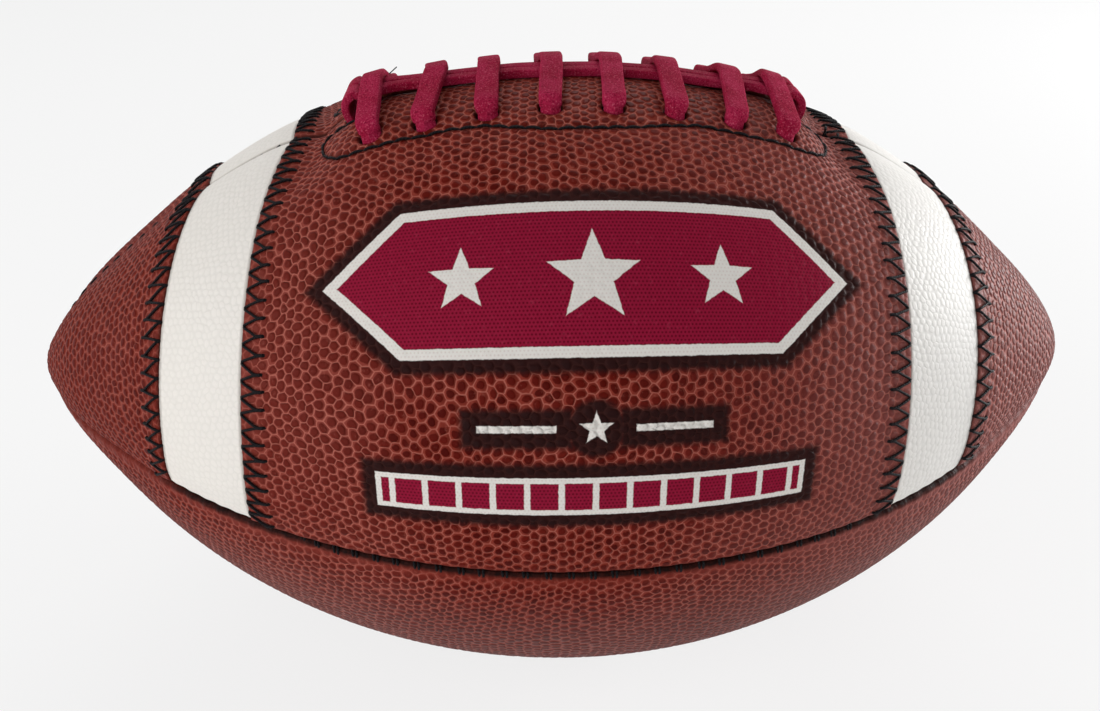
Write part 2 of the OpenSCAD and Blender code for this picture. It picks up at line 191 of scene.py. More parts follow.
class Board:
    # A node tree, with methods that add a node to it and give back its output
    def __init__(self, tree):
        self.tree = tree
        tree.nodes.clear()

    def add(self, kind, settings=None, inputs=(), output=0):
        node = self.tree.nodes.new(kind)
        for key, value in (settings or {}).items():
            setattr(node, key, value)
        pairs = inputs.items() if isinstance(inputs, dict) else enumerate(inputs)
        for key, value in pairs:
            if isinstance(value, Wire):
                self.tree.links.new(value.socket, node.inputs[key])
            else:
                node.inputs[key].default_value = value
        return Wire(self, node.outputs[output])

    def end(self, kind, last):
        # The tree's own output node, which has no output to give back
        self.tree.links.new(last.socket, self.tree.nodes.new(kind).inputs[0])

    def maths(self, operation, *values):
        return self.add("ShaderNodeMath", {"operation": operation}, values)

    def vectorMaths(self, operation, *values):
        return self.add("ShaderNodeVectorMath", {"operation": operation}, values)

    def scaled(self, vector, factor):
        return self.add("ShaderNodeVectorMath", {"operation": "SCALE"}, {0: vector, 3: factor})

    def split(self, vector):
        outputs = self.add("ShaderNodeSeparateXYZ", {}, [vector]).socket.node.outputs
        return [Wire(self, output) for output in outputs]

    def blend(self, share, low, high):
        return self.add("ShaderNodeMix", {"data_type": "RGBA"}, {0: share, 6: low, 7: high}, 2)

    def noise(self, vector, scale, detail=3.0, roughness=0.5, output=0):
        return self.add("ShaderNodeTexNoise", {}, {
            "Vector": vector, "Scale": scale, "Detail": detail, "Roughness": roughness,
        }, output)

    def body(self):
        return self.add("ShaderNodeTexCoord", {}, {}, "Object")

    def uv(self, name):
        return self.add("ShaderNodeUVMap", {"uv_map": name})

    def attribute(self, name):
        return self.add("ShaderNodeAttribute", {"attribute_name": name}, {}, 2)

    def bumped(self, height, distance, strength=1.0, below=None):
        inputs = {"Height": height, "Distance": distance, "Strength": strength}
        if below is not None:
            inputs["Normal"] = below
        return self.add("ShaderNodeBump", {}, inputs)


def colour(red, green, blue):
    # A screen colour, 0 to 255, as the linear colour that a shader takes
    def linear(value):
        value = value / 255
        return value / 12.92 if value < 0.04045 else ((value + 0.055) / 1.055) ** 2.4

    return (linear(red), linear(green), linear(blue), 1.0)


def newFinish(name):
    material = bpy.data.materials.new(name)
    material.use_nodes = True
    return material, Board(material.node_tree)


def shine(board, skin, roughness, normal, gloss=0.5):
    shader = board.add("ShaderNodeBsdfPrincipled", {}, {
        "Base Color": skin, "Roughness": roughness, "Normal": normal, "Specular IOR Level": gloss,
    })
    board.end("ShaderNodeOutputMaterial", shader)


# One pebble pattern serves the raised grain and its colour
grain = {
    "brown": {
        "cell": 2.4 * mm,
        # scale, detail and strength of each noise that carries the pebbles off their rows
        "moves": ((0.07, 0.0, 2.0), (0.4, 0.0, 0.5), (1.2, 0.0, 0.34)),
        "stray": 0.26,
        "height": 0.2 * mm,
    },
    "white": {
        "cell": 1.9 * mm,
        "moves": ((0.07, 0.0, 2.4), (0.4, 0.0, 0.7), (1.2, 0.0, 0.4)),
        "stray": 0.26,
        "height": 0.05 * mm,
    },
}


def pebbles(board, place, style):
    # Distance to the nearest pebble's middle and to the line between it and the next one, in
    # pebble widths, and that pebble's own tone. Pebbles lie in rows like packed coins. The
    # noises bend the rows, and each pebble lies a little off its place in them.
    cells = board.scaled(place, 1 / style["cell"])
    for scale, detail, strength in style["moves"]:
        move = board.noise(cells, scale, detail, 0.5, 1)
        move = board.vectorMaths("SUBTRACT", move, (0.5, 0.5, 0.5))
        cells = board.vectorMaths("ADD", cells, board.scaled(move, strength))
    x, y, _ = board.split(cells)
    rows = math.sqrt(3)

    def toMiddle(x, y, seed):
        column, row = x.maths("FLOOR"), (y / rows).maths("FLOOR")
        own = board.add("ShaderNodeCombineXYZ", {}, [column, row, seed])
        own = board.add("ShaderNodeTexWhiteNoise", {"noise_dimensions": "3D"}, {"Vector": own}, 1)
        offX, offY, tone = board.split(own)
        across = x.maths("FRACT") - 0.5 - (offX - 0.5) * style["stray"]
        down = ((y / rows).maths("FRACT") - 0.5) * rows - (offY - 0.5) * style["stray"]
        border = 0.5 - (x.maths("FRACT") - 0.5).size()
        return (across * across + down * down).maths("SQRT"), border, tone

    middle, border, tone = toMiddle(x, y, 0.0)
    other, otherBorder, otherTone = toMiddle(x + 0.5, y + rows / 2, 7.0)
    nearer = other.maths("LESS_THAN", middle)
    border = border + (otherBorder - border) * nearer
    line = ((middle - other).size() * 0.5).least(border)
    return middle.least(other), line, tone + (otherTone - tone) * nearer


def raisedGrain(name, style):
    tree = bpy.data.node_groups.new(name, "GeometryNodeTree")
    tree.interface.new_socket("Geometry", in_out="INPUT", socket_type="NodeSocketGeometry")
    tree.interface.new_socket("Geometry", in_out="OUTPUT", socket_type="NodeSocketGeometry")
    board = Board(tree)
    start = board.add("NodeGroupInput")
    attribute = "GeometryNodeInputNamedAttribute"
    place = board.add(attribute, {"data_type": "FLOAT_VECTOR"}, {"Name": "leatherUv"})
    relief = board.add(attribute, {"data_type": "FLOAT"}, {"Name": "relief"})
    middle, line = pebbles(board, place, style)[:2]
    dome = (1 - middle.rise(0.26, 0.54)).least(line.rise(-0.02, 0.13))
    sink = (dome - 1) * relief * style["height"]
    offset = board.scaled(board.add("GeometryNodeInputNormal"), sink)
    moved = board.add("GeometryNodeSetPosition", {}, {"Geometry": start, "Offset": offset})
    board.end("NodeGroupOutput", moved)
    return tree


grainGroups = {name: raisedGrain(name + "Grain", style) for name, style in grain.items()}

# The print on the front panel, on the flat of the panel: along the ball and down from its middle
printed = {
    "middle": (0.0, -2.5 * mm),  # the badge's middle: along the ball, and down from the panel's
    "badge": (57 * mm, 16.5 * mm, 17 * mm),  # half length, half height, length of the point
    "border": 2.3 * mm,
    "shade": (2.1 * mm, 4.1 * mm),  # where the dark surround fades out
    "shadeIn": 0.4 * mm,
    "stars": ((-27 * mm, 7.0 * mm), (0.0, 10.0 * mm), (27 * mm, 7.0 * mm)),
    "innerStar": 0.42,
    "lineDown": 31.0 * mm,
    "lineSpan": (8.2 * mm, 24.5 * mm),
    "lineHalf": 0.75 * mm,
    "starDot": 3.6 * mm,
    "bandDown": 46.0 * mm,
    "bandHalf": (46.5 * mm, 4.4 * mm),
    "bandBorder": 1.25 * mm,
    "tickPitch": 7.15 * mm,
    "tickHalf": 0.65 * mm,
    "soft": 0.12 * mm,
    "ragged": 0.45 * mm,
    "weave": 0.8 * mm,
    "roughness": 0.55,
    "flat": (0.2 * mm, 1.6 * mm),  # where the grain rises again beside the print
    "crimson": colour(146, 22, 54),
    "crimsonDot": colour(104, 8, 34),
    "crimsonPale": colour(178, 60, 88),
    "white": colour(238, 234, 228),
    "whiteDot": colour(206, 178, 172),
    "dark": colour(34, 16, 16),
}


def barDistance(along, across, halfLong, halfHigh):
    return (along.size() - halfLong).most(across.size() - halfHigh)


def starDistance(board, along, down, radius):
    # A five-pointed star, one point up, folded into one tenth of a turn
    spoke = math.pi / 5
    reach = (along * along + down * down).maths("SQRT")
    turn = board.maths("ARCTAN2", along, down * -1.0).waves(spoke)
    inner = radius * printed["innerStar"]
    normal = Vector((inner * math.sin(spoke), radius - inner * math.cos(spoke))).normalized()
    return (reach * turn.maths("COSINE") * normal.x
            + reach * turn.maths("SINE") * normal.y - radius * normal.x)


def printMasks(board, layout):
    # Signed distances of the printed shapes, in metres, from the place on the flat panel
    p = printed
    x, y, _ = board.split(layout)
    along, down = x - p["middle"][0], y - p["middle"][1]
    halfLong, halfHigh, point = p["badge"]
    slope = math.hypot(point, halfHigh)
    slanted = ((along.size() - halfLong) * halfHigh + down.size() * point) / slope
    badge = slanted.most(down.size() - halfHigh)
    left, middle, right = (
        starDistance(board, along - place, down, radius) for place, radius in p["stars"])
    star = left.least(middle).least(right)
    low, high = p["lineSpan"]
    below = down - p["lineDown"]
    line = barDistance(along.size() - (low + high) / 2, below, (high - low) / 2, p["lineHalf"])
    dot = (along * along + below * below).maths("SQRT")
    around = line.least(dot - p["starDot"] * 0.75)
    line = line.least(starDistance(board, along, below, p["starDot"]))
    below = down - p["bandDown"]
    band = barDistance(along, below, *p["bandHalf"])
    tick = along.waves(p["tickPitch"] / 2) - p["tickHalf"]
    return badge, star, line, around, band, tick.most(below.size() - p["bandHalf"][1])


def addPrint(board, skin, dull, fine, layout):
    p = printed
    badge, star, line, around, band, tick = printMasks(board, layout)
    ragged = (fine - 0.5) * p["ragged"]

    def inside(distance, grow=0.0):
        return 1 - (distance + ragged).rise(grow - p["soft"], grow + p["soft"])

    x, y, _ = board.split(board.scaled(layout, 1 / p["weave"]))
    dots = ((x + y.maths("FLOOR") * 0.5).waves(0.5) * 2) * (y.waves(0.5) * 2)
    crimson = board.blend(dots.rise(0.15, 0.6), p["crimson"], p["crimsonDot"])
    crimson = board.blend((fine - 0.5).rise(0.05, 0.3) * 0.35, crimson, p["crimsonPale"])
    surround = badge.least(around - p["shadeIn"]).least(band)
    shade = 1 - (surround + ragged * 2).rise(*p["shade"])
    skin = board.blend(shade * 0.95, skin, p["dark"])
    white = inside(badge).most(inside(line)).most(inside(band))
    fill = inside(band, -p["bandBorder"]) * (1 - inside(tick))
    fill = inside(badge, -p["border"]).most(fill) * (1 - inside(star))
    paint = board.blend(dots.rise(0.25, 0.7) * 0.3, p["white"], p["whiteDot"])
    skin = board.blend(white * (0.93 + fine * 0.1), skin, paint)
    skin = board.blend(fill, skin, crimson)
    return skin, dull * (1 - white) + white * p["roughness"]


# How the leather's look changes along the ball and with its height above the floor. Some of it is
# painted light: a painted sheen towards the right end, painted shade at the left end and a painted
# reflection of the floor low down
leatherLook = {
    "sides": (30 * mm, 70 * mm),
    # where the left tip keeps its deeper tone
    "deepLeftTip": (80 * mm, 100 * mm),
    # where the paler tone below, a painted reflection of the floor, fades out going up
    "below": (45 * mm, 75 * mm),
    # where the left end is painted darker and warmer: painted shade
    "paintedShadeLeft": (85 * mm, 125 * mm),
    # where the painted sheen grows towards the right end
    "paintedSheenEnd": (0.0, 125 * mm),
    # where the painted reflection of the floor fades out going up
    "shade": (55 * mm, 82 * mm),
    "wrinkles": (1 / (0.9 * mm), 1 / (9 * mm), 0.0),  # across and along each fine wrinkle
    # Scale, detail and roughness of each noise
    "broad": (28.0, 3.0, 0.55),
    "fine": (900.0, 4.0, 0.6),
    "grit": (1500.0, 5.0, 0.65),
    "gritHeight": 0.05 * mm,
}


def pebbledLeather(name, style, tones, roughness, withPrint=False):
    material, board = newFinish(name)
    middle, line, tone = pebbles(board, board.uv("leatherUv"), style)
    relief, dark = board.attribute("relief"), board.attribute("dark")
    body, layout = board.body(), board.uv("layoutUv")
    broad = board.noise(body, *leatherLook["broad"])
    fine = board.noise(body, *leatherLook["fine"])
    x, _, z = board.split(body)
    left = x * -1.0
    # The leather is paler and flatter at its sides and below, and in broad patches; below, the paler
    # tone is a painted reflection of the pale floor
    sides = x.size().rise(*leatherLook["sides"]) * (1 - left.rise(*leatherLook["deepLeftTip"]) * 0.8)
    paleness = (sides * 0.5 + (1 - z.rise(*leatherLook["below"])) * 0.55
            + (broad - 0.5).rise(-0.1, 0.2) * 0.4).least(1.0)
    blur = (fine - 0.5) * 0.16
    valley = (1 - (line + blur * 0.3).rise(0.0, 0.085)) * (relief * 0.75 + 0.25)
    dome = (1 - (middle + blur - paleness * 0.1).rise(0.28, 0.37)).least(line.rise(0.02, 0.1))
    dome = dome * (relief * 0.7 + 0.3)
    top = board.blend(tone, tones["top"], tones["topWarm"])
    top = board.blend(paleness, top, tones["topPale"])
    skin = board.blend(dome, board.blend(paleness, tones["flank"], tones["flankPale"]), top)
    for share, tint in (
        (valley * tones["lineShare"] * (0.5 + broad), "line"),
        ((fine - 0.5).rise(0.06, 0.3) * 0.25, "line"),
        # painted shade: the left end darker and warmer
        (left.rise(*leatherLook["paintedShadeLeft"]) * tones["paintedShadeLeftShare"], "topWarm"),
        # painted sheen: the right half greyer and cooler
        (x.rise(*leatherLook["paintedSheenEnd"]) * tones["paintedSheenShare"], "paintedSheen"),
        # painted reflection of the pale floor: greyer low down
        ((1 - z.rise(*leatherLook["shade"])) * tones["floorReflectionShare"], "under"),
    ):
        skin = board.blend(share, skin, tones[tint])
    dull = valley * 0.16 + fine * 0.12 + roughness
    if withPrint:
        skin, dull = addPrint(board, skin, dull, fine, layout)
    # Painted shade in the holes, the seams' creases, the facing's stitched groove and along cut edges
    skin = board.blend(dark * (0.75 + fine * 0.5), skin, tones["dark"])
    lift = (1 - middle.rise(0.24, 0.54)).least(line.rise(-0.02, 0.15)) * relief
    normal = board.bumped(lift, tones["bump"])
    if not withPrint:
        # Fine wrinkles where the seams gather the leather
        wrinkles = board.vectorMaths("MULTIPLY", layout, leatherLook["wrinkles"])
        wrinkles = board.noise(wrinkles, 1.0, 3.0, 0.6) * (1 - relief)
        normal = board.bumped(wrinkles, tones["wrinkle"], 1.0, normal)
    grit = board.noise(body, *leatherLook["grit"])
    normal = board.bumped(grit, leatherLook["gritHeight"], 0.6, normal)
    shine(board, skin, dull, normal, tones["gloss"])
    return material


brownTones = {
    "top": colour(72, 5, 1),
    "topWarm": colour(100, 20, 11),
    "topPale": colour(112, 40, 32),
    "flank": colour(130, 48, 37),
    "flankPale": colour(140, 66, 57),
    "line": colour(190, 112, 98),
    "lineShare": 0.7,
    # painted sheen towards the right end
    "paintedSheen": colour(168, 134, 132),
    "paintedSheenShare": 0.24,
    # painted shade at the left end
    "paintedShadeLeftShare": 0.35,
    # a painted reflection of the pale floor, low on the ball
    "under": colour(96, 86, 86),
    "floorReflectionShare": 0.25,
    # the painted shade in holes and creases and along edges and seams
    "dark": colour(26, 10, 8),
    "gloss": 0.04,
    "bump": 0.28 * mm,
    "wrinkle": 0.3 * mm,
}
whiteTones = {
    "top": colour(246, 241, 234),
    "topWarm": colour(244, 239, 232),
    "topPale": colour(245, 240, 234),
    "flank": colour(242, 237, 230),
    "flankPale": colour(241, 237, 231),
    "line": colour(234, 228, 220),
    "lineShare": 0.4,
    # painted sheen towards the right end
    "paintedSheen": colour(232, 233, 232),
    "paintedSheenShare": 0.5,
    "paintedShadeLeftShare": 0.0,
    # a painted reflection of the pale floor, low on the ball
    "under": colour(200, 198, 194),
    "floorReflectionShare": 0.0,
    # the painted shade in holes and creases and along edges and seams
    "dark": colour(120, 100, 90),
    "gloss": 0.16,
    "bump": 0.045 * mm,
    "wrinkle": 0.12 * mm,
}
finishes = {
    "brown": pebbledLeather("brownLeather", grain["brown"], brownTones, 0.4),
    "printed": pebbledLeather("printedLeather", grain["brown"], brownTones, 0.4, True),
    "white": pebbledLeather("whiteLeather", grain["white"], whiteTones, 0.42),
}
print("leather finishes ready")


def smooth(value, low, high):
    share = np.clip((value - low) / (high - low), 0, 1)
    return share * share * (3 - 2 * share)


def lobeRadiusAt(x):
    longArc = np.sqrt(np.maximum(arcRadius**2 - x**2, 0)) - arcDrop
    tipArc = np.sqrt(np.maximum(tipRadius**2 - (x - tipCentre) ** 2, 0))
    return np.where(x < turnX, longArc, tipArc)


def lobeReachAt(radius):
    longArc = np.sqrt(np.maximum(arcRadius**2 - (radius + arcDrop) ** 2, 0))
    tipArc = tipCentre + np.sqrt(np.maximum(tipRadius**2 - radius**2, 0))
    return np.where(radius > turnRadius, longArc, tipArc)


def arcAt(x):
    # Length along the ball from its middle to x
    return arcRadius * math.asin(x / arcRadius)


def fromBallAxis(along, turn):
    # x before the tip's rings, and the distance from the ball's axis
    arc = np.minimum(np.abs(along), endArc)
    x = arcRadius * np.sin(np.minimum(arc, polarArc) / arcRadius)
    lean = shift * (np.cos(turn) - np.sin(turn))
    out = shift * (np.cos(turn) + np.sin(turn)) + np.sqrt(lobeRadiusAt(x) ** 2 - lean**2)
    tipTurn = arcTurn + (arc - arcRadius * arcTurn) / tipRadius
    ring = np.where(arc < arcRadius * arcTurn,
                    arcRadius * np.cos(arc / arcRadius) - arcDrop, tipRadius * np.cos(tipTurn))
    share = ring / lobeRadiusAt(arcRadius * math.sin(polarArc / arcRadius))
    return arc, x, out * np.where(arc > polarArc, share, 1.0)


def outAt(along, turn):
    return fromBallAxis(along, turn)[2]


handPull = {
    # Left and right stripe: the pull at the top, and at the seam
    "lean": ((-4.1 * mm, 5.0 * mm), (-2.4 * mm, -0.1 * mm)),
    "middle": 89.4 * mm,
    "full": 14 * mm,
    "reach": 30 * mm,
}


def stripeLean(along, turn, side):
    # How far the stripes' lines are pulled out along the ball by the hand that sewed them
    top = np.where(along < 0, *(pull[0] for pull in handPull["lean"]))
    seam = np.where(along < 0, *(pull[1] for pull in handPull["lean"]))
    share = turn / quarterTurn
    lean = top + (seam - top) * share if side < 0 else top * (1 - share) ** 2
    away = np.abs(np.abs(along) - handPull["middle"])
    return np.sign(along) * lean * (1 - smooth(away, handPull["full"], handPull["reach"]))


fullTip = {
    "from": 118 * mm,
    "to": 156 * mm,
    "left": 2.6 * mm,
    "right": 2.0 * mm,
    "atLeftTip": 1.1,
    "atRightTip": 0.3,
    "under": 1.6,
    "underTo": 160 * mm,
}


def fullness(along, rise=1.0):
    # How far the tips swell beyond the arc, but for their undersides. rise is 1 straight
    # up and -1 straight down.
    arc = np.abs(along)
    most = np.where(along < 0, fullTip["left"], fullTip["right"])
    inwards = np.where(along < 0, fullTip["atLeftTip"], fullTip["atRightTip"])
    swell = most * smooth(arc, fullTip["from"], fullTip["to"])
    swell = swell * (1 + (inwards - 1) * smooth(arc, fullTip["to"], endArc))
    under = (1 - smooth(rise, -0.75, 0.0)) * (1 - smooth(arc, fullTip["underTo"], endArc))
    return swell * (1 - fullTip["under"] * under)


def onBall(along, turn, side, level, depth=0.0, withNormal=False):
    # A place on the leather. turn is the angle from straight up, or from straight down
    # below, towards the front (side -1) or the rear (side 1). depth goes inwards.
    along, turn, depth = np.broadcast_arrays(
        np.asarray(along, float), np.asarray(turn, float), np.asarray(depth, float))
    if level > 0:
        along = along + stripeLean(along, turn, side)
    arc, x, out = fromBallAxis(along, turn)
    offY = out * np.sin(turn) - shift
    offZ = out * np.cos(turn) - shift
    fromLobe = np.maximum(np.hypot(offY, offZ), 1e-7)
    x = np.where(arc > polarArc, lobeReachAt(fromLobe), x)
    normalX = np.clip(np.where(x < turnX, x / arcRadius, (x - tipCentre) / tipRadius), 0, 1)
    radial = np.sqrt(1 - normalX**2)
    end = np.where(along < 0, -1.0, 1.0)

    def facingOut(x, y, z):
        return np.stack([end * x, side * y, level * z], -1)

    normal = facingOut(normalX, radial / fromLobe * offY, radial / fromLobe * offZ)
    outwards = facingOut(normalX, radial * np.sin(turn), radial * np.cos(turn))
    place = facingOut(x, shift + offY, shift + offZ) + (0, 0, axisHeight)
    full = fullness(along, level * np.cos(turn))
    place = place + outwards * full[..., None] - normal * depth[..., None]
    return (place, normal) if withNormal else place


crease = {
    "roll": 1.45 * mm,  # the leather's bend into each seam
    "dip": 0.45 * mm,
    "spread": 4.5 * mm,
    "lip": 0.5 * mm,  # rounding of a cut edge
    # reach of the painted shade along a cut edge
    "lipDark": 0.7 * mm,
    "dark": (0.3 * mm, 1.2 * mm),  # where the painted shade beside a brown piece's seam fades out
    "darkAlong": (100 * mm, 120 * mm),
    "flat": (0.3 * mm, 2.2 * mm),  # where the grain rises beside a seam
}
stripes = {
    "inner": 74 * mm,
    "outer": 96.4 * mm,
    "lap": 4 * mm,
    "shown": 0.3 * mm,
    "recess": 0.45 * mm,
    "under": 1.15 * mm,
    "thinned": 1.0 * mm,  # the brown leather where it laps over a stripe
    "thinnedCentre": 5.5 * mm,  # how far from its edge
    "thinnedEnd": 6 * mm,
    # reach of the painted shade along the stripe's edges, and where the painted shade beside its seams
    # fades out
    "edgeDark": 0.9 * mm,
    "paintedSeamShade": (0.2 * mm, 1.0 * mm),
    "flat": (3 * mm, 7.5 * mm),  # where the grain rises beside a zigzag
}
lacing = {
    "crosses": 8,
    "pitch": 14.3 * mm,
    "holeOffset": 19.9 * mm,
    "width": 6.2 * mm,
    "thick": 2.0 * mm,
    "gap": 0.2 * mm,
    "room": 0.5 * mm,
    "archHeight": 3.75 * mm,
    "lift": 1.2 * mm,  # how far its ends stand off the leather
    "endIn": 1.6 * mm,  # how far the end holes are pulled in
    "runShare": 0.48,  # how much of its width the lace keeps where it lies lengthwise
    "runMiddle": 1.6 * mm,
    "runReach": 0.93,
    "crossShare": 0.85,
    "crown": 2.2 * mm,  # how far its edges turn in at a hole
    # A cross from its hole up: share of the bend out of the hole, width and crown
    "mouth": ((0, 0.72, 0.6), (0.25, 0.79, 0.5), (0.55, 0.84, 0.3), (1, 0.86, 0.1)),
    "mouthTurn": math.radians(66),
    # From there to the top: share of the way left to the lace seam, and of the height
    "climb": ((0.8, 0.2), (0.52, 0.52), (0.26, 0.84), (0.12, 0.97), (0, 1.0)),
    # The loop at an end of the lengthwise runs, in mm along and up, and its share of width
    "loop": ((-4.4, 3.2, 0.75), (-2.4, 4.4, 0.95), (-0.2, 3.7, 1.0), (0.7, 1.4, 1.0),
             (0.4, -1.2, 1.0), (0.0, -3.9, 1.0)),
    "dip": 2.5 * mm,
    "dipStart": (1 * mm, 14 * mm),
    "dipEnd": (30 * mm, 62 * mm),
    "dipAlong": (47 * mm, 66 * mm),
    "swells": ((1.0 * mm, 46 * mm, 9 * mm), (-2.7 * mm, 66 * mm, 8.5 * mm)),
    "swellAcross": (14 * mm, 34 * mm),
    "mouthRadius": 2.6 * mm,
    "innerRadius": 1.6 * mm,
    "turnRadius": 4.6 * mm,
    "pit": 1.85 * mm,  # how deep the holes show before the painted shade
    # where the painted shade in a hole fades in, by its depth
    "pitDark": (0.35 * mm, 1.1 * mm),
    "holeSize": (2.75 * mm, 2.6 * mm),
    "holeEdge": (-0.7 * mm, 0.35 * mm),
    "holeMiddle": 18.4 * mm,
    "drawnIn": (0.35 * mm, 1.8 * mm),  # depth and reach of the leather drawn in at a hole
    "slotIn": 2.7 * mm,
    "slotEdge": (-0.45 * mm, 0.5 * mm),
}
facing = {
    "wide": 26 * mm,
    "over": 13 * mm,
    "open": 3 * mm,
    "rise": 0.45 * mm,
    "riseEdge": (-5 * mm, 2.5 * mm),
    "groove": (0.35 * mm, 0.75 * mm),  # depth and half width
    "grooveFrom": 1.2 * mm,
    # reach of the painted shade in the stitched groove, and how far from the lace seam it starts
    "grooveDark": 0.9 * mm,
    "darkFrom": 2 * mm,
    # Half of the line that is sewn, in mm along and across, from its end to its middle
    "line": ((49, 8.6), (54, 8.1), (59.5, 7.0), (62.8, 8.2), (63.4, 11.2), (62, 15), (59.6, 18.8),
             (56.3, 21.6), (52, 22.7), (46, 22.9), (38, 22.8), (30, 22.4), (22, 23.1), (14, 24.9),
             (7, 25.9), (0, 26)),
}
facingLine = np.array(facing["line"]) * mm
# Stitching. Each stitch goes into the leather at both ends and lies on it between them.
stitching = {
    "thread": 0.31 * mm,
    "sides": 8,
    "facingStitch": 3.7 * mm,
    "seamStitch": 4.9 * mm,
    "gather": 0.16 * mm,  # how far a stitch draws the leather in
    "gatherReach": 2.2 * mm,
    "gatherShift": 0.2,
    "gatherEnd": (0.85, 0.93),  # where they fade out, as shares of the way to the tip
}
lastHole = lacing["pitch"] * (lacing["crosses"] - 1) / 2
facingHalf = lastHole + facing["over"]
openHalf = facingHalf + facing["open"]
wall = ball["leather"] + ball["fitGap"] + ball["facing"]
runSide = (lacing["width"] + 3 * lacing["gap"]) / 2
runHeight = lacing["gap"] + lacing["thick"] / 2
underHeight = -(wall + lacing["gap"] + lacing["thick"] / 2)
endRadius = (runHeight - underHeight) / 2
endAlong = lastHole + lacing["turnRadius"]
slotAlong = endAlong + endRadius
holes = [lacing["pitch"] * (i - (lacing["crosses"] - 1) / 2) for i in range(lacing["crosses"])]
holes[0] += lacing["endIn"]
holes[-1] -= lacing["endIn"]
valve = {
    "turn": quarterTurn / 2,
    "hole": 4.35 * mm,
    "edge": (-0.2 * mm, 0.5 * mm),
    "deep": 2.1 * mm,
    "stem": 4.0 * mm,
}


def dipAt(along, across):
    # The lace draws the leather behind it down. The stiff facing stands up near its ends, and
    # the leather sinks past them. across is positive behind the lace seam.
    down = smooth(across, *lacing["dipStart"]) * (1 - smooth(across, *lacing["dipEnd"]))
    down = lacing["dip"] * down * (1 - smooth(np.abs(along), *lacing["dipAlong"]))
    swell = 0
    for height, middle, reach in lacing["swells"]:
        swell = swell + height * np.exp(-(((np.abs(along) - middle) / reach) ** 2))
    return down - swell * (1 - smooth(np.abs(across), *lacing["swellAcross"]))


def seatDip(along, turn, side):
    return dipAt(along, side * outAt(along, turn) * np.sin(turn))


def stitchDistance(along, across):
    # Distance to the facing's stitched line: negative inside it
    along, across = np.broadcast_arrays(np.abs(along), across)
    nearest = np.full(along.shape, 1.0)
    for (x, y), (nextX, nextY) in zip(facingLine[:-1], facingLine[1:]):
        stepX, stepY = nextX - x, nextY - y
        share = ((along - x) * stepX + (across - y) * stepY) / (stepX**2 + stepY**2)
        share = np.clip(share, 0, 1)
        nearest = np.minimum(nearest, np.hypot(along - x - share * stepX,
                                               across - y - share * stepY))
    upTo = int(np.argmax(facingLine[:, 0])) - 1
    edge = np.interp(along, facingLine[:upTo:-1, 0], facingLine[:upTo:-1, 1], right=-1.0)
    return np.where(across < edge, -nearest, nearest)


def slotDistance(along, across, middle, halfLong, halfWide):
    # Distance to a slot with round ends that lies across the ball
    offWide = np.maximum(np.abs(across) - (halfWide - halfLong), 0)
    return np.hypot(np.abs(along - middle), offWide) - halfLong


def rounding(distance, radius):
    # How far a rounded edge of this radius lies below the flat, at this distance from the edge
    turned = np.clip(radius - distance, 0, radius)
    return radius - np.sqrt(radius**2 - turned**2)


def creaseDepth(distance):
    dip = crease["dip"] * np.exp(-((distance / crease["spread"]) ** 2))
    return rounding(distance, crease["roll"]) + dip


stretched = {
    "waves": 7,
    "length": 26 * mm,
    "height": 0.055 * mm,
    "upperSeed": 11,
    "lowerSeed": 21,
}


def handmade(along, turn, seed):
    # The slow rise and fall of stretched leather
    waves = np.random.default_rng(seed).uniform(-1, 1, (stretched["waves"], 4))
    around = turn * ball["flatRadius"]
    height = 0
    for stretch, spin, phase, size in waves:
        wave = (along * stretch + around * spin) / stretched["length"]
        height = height + np.sin(wave * 2 + phase * math.pi) * size
    return height * stretched["height"]


def holeDepth(along, across):
    # Lace holes and the slots at the ends of the lacing, with the leather drawn in round them
    deep = 0
    halfLong, halfWide = lacing["holeSize"]
    drawn, reach = lacing["drawnIn"]
    for hole in holes:
        off = np.hypot((along - hole) / halfLong, (across - lacing["holeMiddle"]) / halfWide)
        away = (off - 1) * halfWide
        deep = deep + lacing["pit"] * (1 - smooth(away, *lacing["holeEdge"]))
        deep = deep + drawn * np.exp(-np.maximum(away, 0) / reach)
    halfThick = lacing["thick"] / 2 + lacing["room"]
    halfRuns = runSide + lacing["width"] / 2 + lacing["room"]
    for end in (-1, 1):
        away = slotDistance(along, across, end * (slotAlong - lacing["slotIn"]), halfThick, halfRuns)
        deep = deep + lacing["pit"] * (1 - smooth(away, *lacing["slotEdge"]))
    return deep


def printRelief(along, turn):
    # The grain is pressed flat under the print
    down = (turn - quarterTurn / 2) * ball["flatRadius"] - printed["middle"][1]
    halfLong, halfHigh, point = printed["badge"]
    slanted = (np.abs(along) - halfLong) * halfHigh + np.abs(down) * point
    badge = np.maximum(slanted / math.hypot(point, halfHigh), np.abs(down) - halfHigh)
    bandLong, bandHigh = printed["bandHalf"]
    band = np.maximum(np.abs(along) - bandLong, np.abs(down - printed["bandDown"]) - bandHigh)
    return 0.12 + 0.88 * smooth(np.minimum(badge, band), *printed["flat"])


def gathers(along, near):
    # The seam's stitches draw the leather in
    phase = (along + seamEnd) / stitching["seamStitch"] - stitching["gatherShift"]
    wave = np.cos(2 * math.pi * phase) * np.exp(-((near / stitching["gatherReach"]) ** 2))
    return stitching["gather"] * wave * (1 - smooth(np.abs(along) / endArc, *stitching["gatherEnd"]))


def seamDepth(along, turn, gathered):
    # The leather bends into both seams, and the stitches of the side seam gather it
    out = outAt(along, turn)
    toSide = (quarterTurn - turn) * out
    deep = creaseDepth(turn * out) + creaseDepth(toSide)
    return deep + gathered * gathers(along, toSide)


